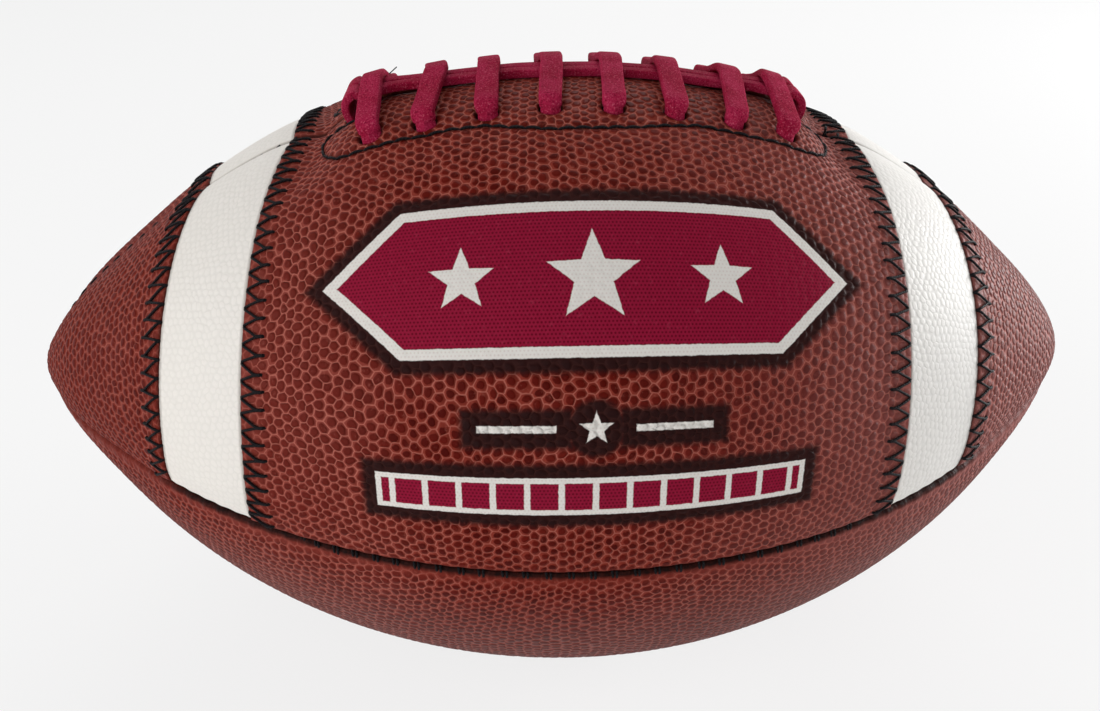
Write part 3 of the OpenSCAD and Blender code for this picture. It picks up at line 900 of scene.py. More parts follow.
def upperDepth(along, turn, side):
    # All that presses an upper panel in or lifts it, apart from its grain
    out = outAt(along, turn)
    across = out * np.sin(turn)
    deep = seamDepth(along, turn, 0.5)
    stitch = stitchDistance(along, across)
    deep = deep - facing["rise"] * (1 - smooth(stitch, *facing["riseEdge"]))
    groove, half = facing["groove"]
    deep = deep + groove * np.exp(-((stitch / half) ** 2)) * (across > facing["grooveFrom"])
    deep = deep + holeDepth(along, across) + handmade(along, turn, stretched["upperSeed"] + side)
    deep = deep + seatDip(along, turn, side)
    if side > 0:
        away = np.hypot(along, (turn - valve["turn"]) * out) - valve["hole"]
        deep = deep + valve["deep"] * (1 - smooth(away, *valve["edge"]))
    return deep


def lowerDepth(along, turn, side):
    hand = handmade(along, turn, stretched["lowerSeed"] + side)
    return seamDepth(along, turn, 1.0) + hand


class EditMode:
    # The lines indented under it work in edit mode
    def __enter__(self):
        bpy.ops.object.mode_set(mode="EDIT")

    def __exit__(self, *_):
        bpy.ops.object.mode_set(mode="OBJECT")


def newGrid(name, cells):
    bpy.ops.object.select_all(action="DESELECT")
    bpy.ops.mesh.primitive_grid_add(x_subdivisions=cells[0], y_subdivisions=cells[1], size=1)
    piece = bpy.context.object
    piece.name = piece.data.name = name
    return piece


def modify(piece, kind, settings):
    bpy.ops.object.modifier_add(type=kind)
    modifier = piece.modifiers[-1]
    for key, value in settings.items():
        setattr(modifier, key, value)
    bpy.ops.object.modifier_apply(modifier=modifier.name)


def thicken(piece, thickness):
    modify(piece, "SOLIDIFY", {"thickness": thickness, "offset": -1})


def readAll(items, word, size, kind=float):
    values = np.zeros(len(items) * size, kind)
    items.foreach_get(word, values)
    return values.reshape(-1, size) if size > 1 else values


def leatherPiece(name, cells, span, side, level, style, shape):
    # A coarse grid is laid on the ball, unwrapped, thickened, divided and then formed.
    # shape(along, turn) gives the outer depth, the inner depth, the grain's strength and
    # the painted shade in the leather's holes and along its edges and seams.
    piece = newGrid(name, cells)
    mesh = piece.data
    mesh.uv_layers[0].name = "panelUv"
    margin = ball["seamGap"] / lobeRadius

    def panelPlace():
        corner = readAll(mesh.loops, "vertex_index", 1, int)
        share = np.zeros((len(mesh.vertices), 2))
        share[corner] = readAll(mesh.uv_layers["panelUv"].uv, "vector", 2)
        along = span[0] + (span[1] - span[0]) * share[:, 0]
        turn = margin + (quarterTurn - 2 * margin) * share[:, 1]
        return along, turn, corner

    along, turn, corner = panelPlace()
    mesh.vertices.foreach_set("co", onBall(along, turn, side, level).ravel())
    with EditMode():
        bpy.ops.mesh.select_all(action="SELECT")
        if side * level < 0:
            bpy.ops.mesh.flip_normals()
    mesh.uv_layers.new(name="leatherUv")
    mesh.uv_layers.active = mesh.uv_layers["leatherUv"]
    with EditMode():
        bpy.ops.uv.unwrap(method="ANGLE_BASED", margin=0.0)
    spreadUv(mesh)

    coarse = len(mesh.vertices)
    thicken(piece, ball["leather"])
    with EditMode():
        bpy.ops.mesh.select_mode(type="FACE")
        bpy.ops.mesh.select_all(action="DESELECT")
    for face in mesh.polygons:
        face.select = max(face.vertices) < coarse
    with EditMode():
        bpy.ops.mesh.subdivide(number_cuts=ball["cuts"])

    along, turn, corner = panelPlace()
    inner = np.zeros(len(mesh.vertices), bool)
    inner[coarse:2 * coarse] = True
    outerDepth, innerDepth, relief, dark = shape(along, turn)
    depth = np.where(inner, np.maximum(innerDepth, outerDepth + ball["thinnest"]), outerDepth)
    mesh.vertices.foreach_set("co", onBall(along, turn, side, level, depth).ravel())
    # relief is the grain's strength; dark is the painted shade at holes, edges and seams
    for word, values in {"relief": relief, "dark": dark}.items():
        spread = mesh.attributes.new(word, "FLOAT", "POINT")
        spread.data.foreach_set("value", np.where(inner, 0.0, values).astype(np.float32))
    layout = mesh.uv_layers.new(name="layoutUv")
    flat = np.stack([along, (turn - quarterTurn / 2) * ball["flatRadius"]], -1)[corner]
    layout.uv.foreach_set("vector", flat.ravel())
    mesh.uv_layers.remove(mesh.uv_layers["panelUv"])
    mesh.update()
    modify(piece, "NODES", {"node_group": grainGroups[style]})
    bpy.ops.object.shade_smooth()
    return piece


def spreadUv(mesh):
    # Scales the unwrapped map so that it is in metres on the leather
    layer = mesh.uv_layers["leatherUv"].uv
    flat = readAll(layer, "vector", 2)
    flatArea = 0.0
    for face in mesh.polygons:
        x, y = flat[list(face.loop_indices)].T
        flatArea += abs(np.dot(x, np.roll(y, -1)) - np.dot(y, np.roll(x, -1))) / 2
    realArea = sum(face.area for face in mesh.polygons)
    layer.foreach_set("vector", (flat * math.sqrt(realArea / flatArea)).ravel())


def dress(piece, material, slotName, *nodes):
    piece.data.materials.clear()
    piece.data.materials.append(material)
    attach(piece, "root")
    if nodes:
        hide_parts(*nodes)


stripeArc = (arcAt(stripes["inner"]), arcAt(stripes["outer"]))
lapArc = (arcAt(stripes["inner"] - stripes["lap"]), arcAt(stripes["outer"] + stripes["lap"]))
sides = {"front": -1, "rear": 1}
ends = {"left": -1, "right": 1}


def toSeam(along, turn):
    return np.minimum(turn, quarterTurn - turn) * outAt(along, turn)


def edgeFade(along, turn):
    # The grain fades out at the seams
    return smooth(toSeam(along, turn), *crease["flat"])


def lapFade(along):
    # The zigzags press the grain flat beside the stripes
    arc = np.abs(along)
    near = np.minimum(np.abs(arc - stripeArc[0]), np.abs(arc - stripeArc[1]))
    return 0.3 + 0.7 * smooth(near, *stripes["flat"])


def paintedShadeNear(distance, width):
    # Share of painted shade near an edge, none past this width
    return 1 - smooth(distance, 0.2 * width, width)


def paintedSeamShade(along, turn, low, high):
    # Painted shade beside a seam, up to the distance high, and less of it towards the tips
    share = 1 - 0.8 * smooth(np.abs(along), *crease["darkAlong"])
    return share * (1 - smooth(toSeam(along, turn), low, high))


def paintedBrownShade(along, turn, toEdge):
    # Painted shade on a brown piece at its cut edge and beside its seams
    return 0.8 * np.maximum(paintedShadeNear(toEdge, crease["lipDark"]),
                            paintedSeamShade(along, turn, *crease["dark"]))


def centreShape(side):
    def shape(along, turn):
        toEdge = stripeArc[0] - np.abs(along)
        deep = upperDepth(along, turn, side) + rounding(toEdge, crease["lip"])
        inside = np.where(toEdge < stripes["thinnedCentre"], stripes["thinned"], ball["leather"])
        across = outAt(along, turn) * np.sin(turn)
        pits = smooth(holeDepth(along, across), *lacing["pitDark"])
        relief = edgeFade(along, turn) * lapFade(along) * (1 - pits)
        if side < 0:
            relief = relief * printRelief(along, turn)
        # Painted shade in the holes and in the facing's stitched groove, and at the cut edge and seams
        groove = paintedShadeNear(np.abs(stitchDistance(along, across)), facing["grooveDark"])
        dark = np.maximum(pits, 0.5 * groove * (across > facing["darkFrom"]))
        dark = np.maximum(dark, paintedBrownShade(along, turn, toEdge))
        return deep, inside + seatDip(along, turn, side), relief, dark
    return shape


def stripeShape(side):
    def shape(along, turn):
        toEdge = np.minimum(np.abs(along) - stripeArc[0], stripeArc[1] - np.abs(along))
        sunk = np.where(toEdge > -stripes["shown"], stripes["recess"], stripes["under"])
        # Painted shade along the stripe's edges and beside its seams
        dark = np.maximum(0.5 * paintedShadeNear(toEdge, stripes["edgeDark"]),
                          0.7 * paintedSeamShade(along, turn, *stripes["paintedSeamShade"]))
        return upperDepth(along, turn, side) + sunk, ball["leather"], edgeFade(along, turn), dark
    return shape


def endShape(side):
    def shape(along, turn):
        toEdge = np.abs(along) - stripeArc[1]
        deep = upperDepth(along, turn, side) + rounding(toEdge, crease["lip"])
        inside = np.where(toEdge < stripes["thinnedEnd"], stripes["thinned"], ball["leather"])
        relief = edgeFade(along, turn) * lapFade(along)
        return deep, inside, relief, paintedBrownShade(along, turn, toEdge)
    return shape


# dark: where the painted shade beside a lower panel's seams fades out
lowerLeather = {"flat": (1 * mm, 5 * mm), "dark": (0.7 * mm, 1.9 * mm)}


def lowerShape(side):
    def shape(along, turn):
        toSide = (quarterTurn - turn) * outAt(along, turn)
        relief = edgeFade(along, turn) * smooth(toSide, *lowerLeather["flat"])
        # Painted shade beside the seams
        dark = 0.95 * paintedSeamShade(along, turn, *lowerLeather["dark"])
        return lowerDepth(along, turn, side), ball["leather"], relief, dark
    return shape


def quarters(sideName):
    # Both ends of one side: the end, and the words that names and nodes start with
    for endName, end in ends.items():
        yield endName, end, sideName + endName.capitalize(), sideName + "_" + endName


# How many cells the coarse grid of each kind of piece has along and across
gridCells = {"centre": (36, 32), "lower": (60, 24), "stripe": (9, 28), "end": (18, 20)}
tipArcEnd = endArc - ball["tipGap"]
for sideName, side in sides.items():
    panel = leatherPiece(sideName + "CentreLeather", gridCells["centre"], (-stripeArc[0], stripeArc[0]),
                         side, 1, "brown", centreShape(side))
    dress(panel, finishes["printed" if side < 0 else "brown"], "brown_leather",
          sideName + "_centre_panel")
    lower = leatherPiece(sideName + "LowerLeather", gridCells["lower"], (-tipArcEnd, tipArcEnd),
                         side, -1, "brown", lowerShape(side))
    dress(lower, finishes["brown"], "brown_leather", sideName + "_lower_panel")
    for endName, end, word, node in quarters(sideName):
        span = sorted((end * lapArc[0], end * lapArc[1]))
        stripe = leatherPiece(word + "Stripe", gridCells["stripe"], span, side, 1, "white",
                              stripeShape(side))
        dress(stripe, finishes["white"], "white_leather", node + "_stripe")
        span = sorted((end * stripeArc[1], end * tipArcEnd))
        tip = leatherPiece(word + "EndLeather", gridCells["end"], span, side, 1, "brown",
                           endShape(side))
        dress(tip, finishes["brown"], "brown_leather", node + "_end_panel")
    print(sideName, "leather laid")


# How far each cross leans along the ball at its top
leans = np.array([0.9, 3.2, 1.0, 1.3, 0.7, -0.4, 0.7, -1.4]) * mm


def liftAt(along):
    return lacing["lift"] * (along / lastHole) ** 2


def bent(points):
    # Lays [along, across, height] places round the ball, from its top line
    along, across, height = np.moveaxis(np.asarray(points, float), -1, 0)
    turn = along / arcRadius
    reach = arcRadius + height
    return np.stack([reach * np.sin(turn), across,
                     reach * np.cos(turn) - arcRadius + lobeRadius + shift + axisHeight], -1)


def bentWay(along, way):
    turn = along / arcRadius
    cosine, sine = np.cos(turn), np.sin(turn)
    return np.stack([way[..., 0] * cosine + way[..., 2] * sine, way[..., 1],
                     way[..., 2] * cosine - way[..., 0] * sine], -1)


def drop(along, across):
    # How far the leather at this distance from the top line lies below it
    radius = lobeRadiusAt(arcRadius * np.sin(np.abs(along) / arcRadius))
    off = np.maximum(np.abs(across) - shift, 0)
    return float(np.cos(along / arcRadius) * (radius - np.sqrt(radius**2 - off**2)))


def halfCross(hole, side, lean):
    # From the front or rear hole's mouth up to the top of a cross
    offset, bend = lacing["holeOffset"], lacing["mouthRadius"]
    low = -drop(hole, offset) + facing["rise"]
    points = []
    for share, pinch, crown in lacing["mouth"]:
        angle = lacing["mouthTurn"] * share
        mouth = offset - bend * (1 - math.cos(angle))
        mouthHeight = low + bend * math.sin(angle)
        points.append((hole, side * mouth, mouthHeight, pinch, crown * lacing["crown"]))
    top = lacing["archHeight"] + liftAt(hole)
    for share, tall in lacing["climb"]:
        points.append((hole + lean * (1 - share), side * mouth * share,
                       mouthHeight + (top - mouthHeight) * tall, lacing["crossShare"], 0.0))
    return points


def holeBend(hole, side):
    # The bend below a hole, from the hole down to the flat run under the facing
    offset, bend = lacing["holeOffset"], lacing["innerRadius"]
    top = -drop(hole, offset) - wall
    return [(hole, side * (offset - bend * (1 - math.cos(a))), top - bend * math.sin(a),
             lacing["crossShare"], 0) for a in np.radians((0, 45, 90))]


def underHeightAt(along, across):
    edge = lacing["holeOffset"] - lacing["innerRadius"]
    low = -drop(along, lacing["holeOffset"]) - wall - lacing["innerRadius"]
    return low + (underHeight - low) * (1 - (across / edge) ** 2)


def underRun(hole, following):
    edge = lacing["holeOffset"] - lacing["innerRadius"]
    points = []
    for share in (0.6, 0, -0.6):
        along = following + (hole - following) * (1 + share) / 2
        points.append((along, edge * share, underHeightAt(along, edge * share), 1.0, 0))
    return points


def endTurn(end, side):
    # Over and down through the slot at an end of the lengthwise runs
    points = [(end * (endAlong + x * mm), side * runSide, height * mm, share, 0)
              for x, height, share in lacing["loop"]]
    return points + [(end * endAlong, side * runSide, underHeight, 1.0, 0)]


def flatTurn(end, side):
    points, ways = [], []
    for angle in np.radians((30, 60, 90)):
        across = runSide + lacing["turnRadius"] * (1 - math.cos(angle))
        along = endAlong - lacing["turnRadius"] * math.sin(angle)
        points.append((end * along, side * across, underHeightAt(along, across), 1.0, 0))
        ways.append((math.sin(angle), -math.cos(angle), 0.0))
    return points, ways


def laceRoute():
    # The one lace from end to end: each point is [along, across, height, width share, crown],
    # and way is the direction of its width
    points, ways = [], []

    def lay(new, way):
        points.extend(new)
        ways.extend([way] * len(new) if isinstance(way, tuple) else way)

    across, along = (0.0, -1.0, 0.0), (1.0, 0.0, 0.0)
    slant = math.atan2(lacing["pitch"], 2 * (lacing["holeOffset"] - lacing["innerRadius"]))
    tail = lacing["turnRadius"] - 2 * lacing["gap"] - endAlong
    runs = lacing["runReach"] * endAlong * (np.arange(1, 12) / 6 - 1)
    front, rear = ([(run, side * lacing["runMiddle"], runHeight + liftAt(run),
                     lacing["runShare"], 0) for run in runs] for side in (-1, 1))
    order = holes[::-1]
    leanOf = dict(zip(holes, leans))
    lay([(tail, -runSide, underHeight, 1.0, 0)], across)
    lay(endTurn(-1, -1)[::-1] + front + endTurn(1, -1), across)
    lay(*flatTurn(1, -1))
    lay(holeBend(order[0], -1)[::-1], along)
    for hole, following in zip(order, order[1:] + [None]):
        rise = halfCross(hole, -1, leanOf[hole])
        fall = halfCross(hole, 1, leanOf[hole])[-2::-1]
        lay(rise + fall + holeBend(hole, 1), along)
        if following is not None:
            lay(underRun(hole, following), (math.cos(slant), -math.sin(slant), 0.0))
            lay(holeBend(following, -1)[::-1], along)
    lay(*(row[::-1] for row in flatTurn(-1, 1)))
    lay(endTurn(-1, 1)[::-1] + rear + endTurn(1, 1), across)
    lay([(-tail, runSide, underHeight, 1.0, 0)], across)
    points = np.array(points, float)
    points[:, 2] -= dipAt(points[:, 0], points[:, 1])
    return points, np.array(ways)


def rounded(values, steps):
    # A smooth curve through the rows of values, with this many steps between two of them
    count = len(values)
    before = values[np.maximum(np.arange(count - 1) - 1, 0)]
    first, second = values[:-1], values[1:]
    after = values[np.minimum(np.arange(count - 1) + 2, count - 1)]
    share = (np.arange(steps) / steps)[None, :, None]
    a, b, c, d = (v[:, None, :] for v in (before, first, second, after))
    curve = 0.5 * (2 * b + (c - a) * share + (2 * a - 5 * b + 4 * c - d) * share**2
                   + (3 * b - a - 3 * c + d) * share**3)
    return np.concatenate([curve.reshape(-1, values.shape[1]), values[-1:]])


def unit(vectors):
    return vectors / np.maximum(np.linalg.norm(vectors, axis=-1, keepdims=True), 1e-12)


def lengths(places):
    # How far along the line through these places each of them lies
    steps = np.linalg.norm(np.diff(places, axis=0), axis=1)
    return np.concatenate([[0], np.cumsum(steps)])


def sweep(name, places, ways, section, shares=None, crown=None):
    # A closed tube along places. section holds [along the width, along the thickness], and
    # ways is the direction of the width at each place. crown turns the edges in.
    shares = np.ones((len(places), 2)) if shares is None else shares
    tangents = unit(np.gradient(places, axis=0))
    width = unit(ways - (ways * tangents).sum(-1, keepdims=True) * tangents)
    thick = np.cross(tangents, width)
    sized = section[None] * shares[:, None, :]
    if crown is not None:
        edge = (section[:, 0] / section[:, 0].max()) ** 2
        sized[..., 1] += crown[:, None] * edge[None]
    rings = places[:, None] + sized[..., :1] * width[:, None] + sized[..., 1:] * thick[:, None]
    count, points = len(section), len(places)
    ring, step = np.meshgrid(np.arange(points - 1), np.arange(count), indexing="ij")
    a = ring * count + step
    b = ring * count + (step + 1) % count
    faces = np.stack([a, b, b + count, a + count], -1).reshape(-1, 4).tolist()
    faces.append(list(range(count))[::-1])
    faces.append([(points - 1) * count + i for i in range(count)])
    mesh = bpy.data.meshes.new(name)
    mesh.from_pydata(rings.reshape(-1, 3), [], faces)
    piece = bpy.data.objects.new(name, mesh)
    bpy.context.scene.collection.objects.link(piece)
    length, around = lengths(places), lengths(np.vstack([section, section[:1]]))
    corners = ((step, ring), (step + 1, ring), (step + 1, ring + 1), (step, ring + 1))
    flat = np.stack([np.stack([around[i], length[j]], -1) for i, j in corners], -2)
    flat = np.concatenate([flat.reshape(-1, 2), np.zeros((2 * count, 2))])
    mesh.uv_layers.new(name="lengthUv").uv.foreach_set("vector", flat.ravel())
    bpy.ops.object.select_all(action="DESELECT")
    bpy.context.view_layer.objects.active = piece
    piece.select_set(True)
    with EditMode():
        bpy.ops.mesh.select_all(action="SELECT")
        bpy.ops.mesh.normals_make_consistent(inside=False)
    bpy.ops.object.shade_smooth_by_angle(angle=math.radians(40))
    return piece


def flatSection(halfWide, halfThick, count):
    # A strip's section: flat faces with rounded edges
    angle = np.arange(count) / count * 2 * math.pi
    cosine, sine = np.cos(angle), np.sin(angle)
    wide = np.sign(cosine) * np.abs(cosine) ** 0.25 * halfWide
    thick = np.sign(sine) * np.abs(sine) ** 0.4 * halfThick
    return np.stack([wide, thick], -1)


def roundSection(radius, count=stitching["sides"]):
    angle = np.arange(count) / count * 2 * math.pi
    return np.stack([np.cos(angle), np.sin(angle)], -1) * radius


laceLook = {
    # Scale, detail and roughness of each noise
    "nap": (2600.0, 2.0, 0.7),
    "cloud": (120.0, 4.0, 0.6),
    "streak": (1.0, 3.0, 0.6),
    "streaks": (2600.0, 60.0, 1.0),  # how many to a metre, across and along the lace
    "low": colour(146, 16, 50),
    "high": colour(172, 36, 74),
    "shadow": colour(112, 6, 32),
    "pore": colour(84, 3, 22),
    "fibre": colour(214, 110, 134),
    "furrow": colour(90, 4, 26),
    "napHeight": 0.1 * mm,
    "cloudHeight": 0.12 * mm,
    "gloss": 0.04,
}


def laceFinish():
    material, board = newFinish("crimsonLace")
    nap = board.noise(board.body(), *laceLook["nap"])
    cloud = board.noise(board.body(), *laceLook["cloud"])
    streak = board.vectorMaths("MULTIPLY", board.uv("lengthUv"), laceLook["streaks"])
    streak = board.noise(streak, *laceLook["streak"])
    skin = board.blend(cloud.rise(0.3, 0.7), laceLook["low"], laceLook["high"])
    for share, tint in (
        ((0.5 - nap).rise(0.04, 0.2) * 0.5, "shadow"),
        ((nap - 0.5).rise(0.04, 0.2) * 0.5, "fibre"),
        ((0.5 - nap).rise(0.04, 0.18) * 0.6, "pore"),
        ((streak - 0.5).rise(0.0, 0.3) * 0.3, "furrow"),
    ):
        skin = board.blend(share, skin, laceLook[tint])
    normal = board.bumped(cloud, laceLook["cloudHeight"])
    normal = board.bumped(nap, laceLook["napHeight"], 0.8, normal)
    shine(board, skin, nap * 0.2 + 0.6, normal, laceLook["gloss"])
    return material


threadLook = {
    "fuzz": (3500.0, 3.0, 0.6),
    "twist": (0.8 * mm, 1.1 * mm),  # the twist's pitch along and round the thread
    "low": colour(6, 5, 7),
    "high": colour(30, 27, 30),
    "height": 0.08 * mm,
    "gloss": 0.08,
}


def threadFinish():
    material, board = newFinish("blackThread")
    around, along, _ = board.split(board.uv("lengthUv"))
    pitch, ringPitch = threadLook["twist"]
    twist = (along * (1 / pitch) + around * (1 / ringPitch)).waves(0.5) * 2
    fuzz = board.noise(board.body(), *threadLook["fuzz"])
    skin = board.blend(twist * (0.4 + fuzz * 0.8), threadLook["low"], threadLook["high"])
    normal = board.bumped(twist + fuzz * 0.4, threadLook["height"])
    shine(board, skin, fuzz * 0.2 + 0.5, normal, threadLook["gloss"])
    return material


finishes["lace"] = laceFinish()
finishes["thread"] = threadFinish()

uneven = {
    "rise": 0.12 * mm,
    "waves": ((0.9, 1.0), (1.7, 2.2), (2.9, 0.4)),  # speed and start of each wave in the height
    "width": (0.02, 1.3),  # size and speed of the wave in the width
    "steps": 6,
    "sides": 32,
}


def makeLace():
    points, ways = laceRoute()
    steps = uneven["steps"]
    route = rounded(points, steps)
    phase = np.arange(len(route)) / steps
    rise = sum(np.sin(phase * speed + start) for speed, start in uneven["waves"])
    rise = rise / len(uneven["waves"]) * uneven["rise"]
    route[:, 2] += rise * (route[:, 2] > 0)
    wider, speed = uneven["width"]
    shares = np.stack([route[:, 3] * (1 + wider * np.sin(phase * speed)), np.ones(len(route))], -1)
    section = flatSection(lacing["width"] / 2, lacing["thick"] / 2, uneven["sides"])
    piece = sweep("lace", bent(route[:, :3]), bentWay(route[:, 0], rounded(ways, steps)),
                  section, shares, route[:, 4])
    dress(piece, finishes["lace"], "lace", "lace")


makeLace()
print("lace threaded")


def sewnPiece(name, along, turn, rise, side, node):
    # A thread along a line on an upper panel, at this height above the leather
    depth = upperDepth(along, turn, side) - rise
    places, normals = onBall(along, turn, side, 1, depth, True)
    piece = sweep(name, places, normals, roundSection(stitching["thread"]))
    dress(piece, finishes["thread"], "thread", node)


# Each row of zigzags: its width, its gap from the stripe's edge, how far the needle's points
# on the stripe's side lie below the middle of the two beside them, in half pitches, and the pitch
zigzags = {
    "leftInner": (5.7 * mm, 0.35 * mm, -0.18, 3.7 * mm),
    "leftOuter": (6.3 * mm, 0.1 * mm, -0.23, 4.2 * mm),
    "rightInner": (6.5 * mm, 0.45 * mm, 0.1, 3.95 * mm),
    "rightOuter": (6.2 * mm, 0.05 * mm, 0.0, 4.2 * mm),
}
zigzag = {
    "margin": 1.9 * mm,
    "stray": 0.25 * mm,
    "strayTurn": 0.003,
    "nearRise": -0.7 * mm,
    "beside": 0.13 * mm,
    # A pair of threads at a hole away from the stripe: distance from it, share of beside, height
    "pair": ((1.7, -1, 0.4), (0.35, -0.5, 0.28), (0, 0, -0.6), (0.35, 0.5, 0.28), (1.7, 1, 0.4)),
    # A long stitch off the stripe: shares of its length, and heights in mm
    "rising": ((0.12, 0.15), (0.3, 0.36), (0.65, 0.42)),
    "falling": ((0.35, 0.42), (0.7, 0.36), (0.88, 0.15)),
    "long": 2 * mm,
}


def zigzagPiece(name, side, end, row, edge, inner, node):
    # inner is 1 for the row on the centre panel and -1 for the one on the end panel
    wide, gap, skew, pitch = zigzags[row]
    out = float(outAt(edge, quarterTurn / 2))
    margin = zigzag["margin"] / out
    count = 2 * int((quarterTurn - 2 * margin) * out / pitch)
    rng = np.random.default_rng(int(edge * 1e5) + 7 * side + end)
    near, far = edge - inner * gap, edge - inner * (gap + wide)
    beside = zigzag["beside"] / out
    rows = []
    for i in range(count + 1):
        turn = margin + (quarterTurn - 2 * margin) * (i + skew * (1 if i % 2 else -1)) / count
        turn = turn + rng.uniform(-zigzag["strayTurn"], zigzag["strayTurn"])
        stray = rng.uniform(-zigzag["stray"], zigzag["stray"])
        if i % 2:
            rows.append((near + stray * 0.5, turn, zigzag["nearRise"]))
        else:
            rows += [(far + stray + inner * away * mm, turn + beside * off, rise * mm)
                     for away, off, rise in zigzag["pair"]]
    laid = []
    for first, second in zip(rows[:-1], rows[1:]):
        laid.append(first)
        low, high = np.array(first), np.array(second)
        if abs(high[0] - low[0]) > zigzag["long"]:
            for share, rise in zigzag["falling" if low[2] > 0 else "rising"]:
                place = low + (high - low) * share
                laid.append((place[0], place[1], rise * mm))
    laid.append(rows[-1])
    along, turn, rise = rounded(np.array(laid), 2).T
    sewnPiece(name, end * along, np.clip(turn, 0, quarterTurn), rise, side, node)


def evenly(line, pitch):
    # The same line with points this far apart
    length = lengths(line)
    places = np.linspace(0, length[-1], int(round(length[-1] / pitch)) + 1)
    return np.stack([np.interp(places, length, line[:, i]) for i in range(line.shape[1])], -1)


facingStitch = {
    "points": 10,  # of each stitch
    "sunk": 0.3 * mm,
    "arch": 0.62 * mm,
    "sway": ((0.12 * mm, 2.4, 0), (0.1 * mm, 0.9, 1)),  # size, speed and start of two waves
}


def facingPiece(name, side, node):
    per = facingStitch["points"]
    # The stitched outline on the panel, from end to end
    line = np.concatenate([facingLine * (-1, 1), facingLine[-2::-1]])
    line = evenly(rounded(line, 8), stitching["facingStitch"] / per)
    phase = np.arange(len(line)) / per
    rise = facingStitch["arch"] * np.abs(np.sin(math.pi * phase)) ** 0.6 - facingStitch["sunk"]
    along, across = line.T
    for size, speed, start in facingStitch["sway"]:
        across = across + size * np.sin(phase * speed + start)
    turn = across / (lobeRadius + shift)
    for _ in range(4):  # the turn at which the leather is this far from the top line
        turn = np.arcsin(np.clip(across / outAt(along, turn), -1, 1))
    sewnPiece(name, along, turn, rise, side, node)


# Short double stitches that draw two panels together. Each point of a stitch has its share of
# the pitch, its height off the leather and its place across the seam, in mm.
seamStitch = {
    "side": ((0.0, -2.1, 0.3), (0.06, -1.0, 0.4), (0.1, -0.1, -0.5), (0.12, 0.1, -1.2),
             (0.13, -0.7, -1.9), (0.17, -1.9, -1.7), (0.22, -2.1, -0.4), (0.27, -1.2, 0.2),
             (0.3, 0.0, -0.4), (0.3, 0.15, -1.3), (0.29, -0.6, -2.1), (0.32, -1.8, -1.9),
             (0.5, -2.2, -0.6), (0.8, -2.3, 0.0)),
    "upright": ((0.0, -2.1, -1.0), (0.05, -1.0, -1.2), (0.08, -0.2, -1.2), (0.14, 0.1, -0.5),
                (0.22, 0.1, 0.5), (0.28, -0.2, 1.2), (0.31, -1.0, 1.2), (0.36, -2.0, 0.8),
                (0.6, -2.2, 0.0), (0.85, -2.2, -0.6)),
    "stray": 0.05,
    "tall": (0.8, 1.15),
    # Towards the tips the side seams' thread lies deeper, out of sight
    "sunk": 1.5 * mm,
    "sunkRight": (104 * mm, 118 * mm),
    "sunkLeft": (92 * mm, 104 * mm),
    "inset": 0.75 * mm,
    "bottomInset": 0.35 * mm,
}


def seamX(along):
    return np.sign(along) * onBall(np.abs(along), 0.0, 1, 1)[..., 0]


def seamRun(name, side, level, across, low, high, number):
    pitch = stitching["seamStitch"]
    count = int((high - low) / pitch)
    rng = np.random.default_rng(number + count)
    rows = []
    for i in range(count):
        start = low + pitch * (i + rng.uniform(-seamStitch["stray"], seamStitch["stray"]))
        tall = rng.uniform(*seamStitch["tall"])
        rows += [(start + pitch * share, rise * mm, off * tall * mm)
                 for share, rise, off in seamStitch["side" if across == "side" else "upright"]]
    along, rise, sway = np.array(rows).T
    if across == "side":
        sunk = smooth(along, *seamStitch["sunkRight"]) + smooth(-along, *seamStitch["sunkLeft"])
        rise, sway = rise - seamStitch["sunk"] * sunk, sway * (1 - 0.8 * sunk)
    out = outAt(along, np.zeros(len(along))) + rise - seamStitch["inset"]
    if across == "bottom":
        out = out + fullness(along, -1.0) - seamStitch["bottomInset"]
    else:
        out = out + fullness(along)
    if across == "side":
        places = np.stack([seamX(along), side * out, axisHeight + sway], -1)
        normal = (0.0, side, 0.0)
    else:
        places = np.stack([seamX(along), sway, axisHeight + level * out], -1)
        normal = (0.0, 0.0, level)
    rows = rounded(np.hstack([places, np.tile(normal, (len(along), 1))]), 2)
    return sweep(f"{name}{number}", rows[:, :3], rows[:, 3:], roundSection(stitching["thread"], 6))


def seamPiece(name, side, level, across, spans, node):
    pieces = [seamRun(name, side, level, across, low, high, number)
              for number, (low, high) in enumerate(spans)]
    bpy.ops.object.select_all(action="DESELECT")
    for piece in pieces:
        piece.select_set(True)
    bpy.context.view_layer.objects.active = pieces[0]
    if len(pieces) > 1:
        bpy.ops.object.join()
    piece = bpy.context.view_layer.objects.active
    piece.name = piece.data.name = name
    dress(piece, finishes["thread"], "thread", node)


knot = {
    "turns": 3.2,
    "points": 90,
    "radius": 1.5 * mm,
    "hole": 0.1 * mm,
    "rise": 0.75 * mm,
    "foot": 1.6 * mm,
    "thread": 0.32 * mm,
}


def tipKnot(name, end):
    # The thread's end wound over the place where the four panels meet
    angle = np.linspace(0, 2 * math.pi * knot["turns"], knot["points"])
    radius = knot["radius"] * (1 - angle / angle[-1]) ** 0.8 + knot["hole"]
    rise = knot["rise"] * (1 - (radius / knot["foot"]) ** 2)
    out = ball["halfLength"] - ball["tipGap"] + rise + float(fullness(end * endArc))
    places = np.stack([end * out, radius * np.cos(angle), axisHeight + radius * np.sin(angle)], -1)
    ways = np.tile((float(end), 0.0, 0.0), (len(angle), 1))
    dress(sweep(name, places, ways, roundSection(knot["thread"])), finishes["thread"], "thread")


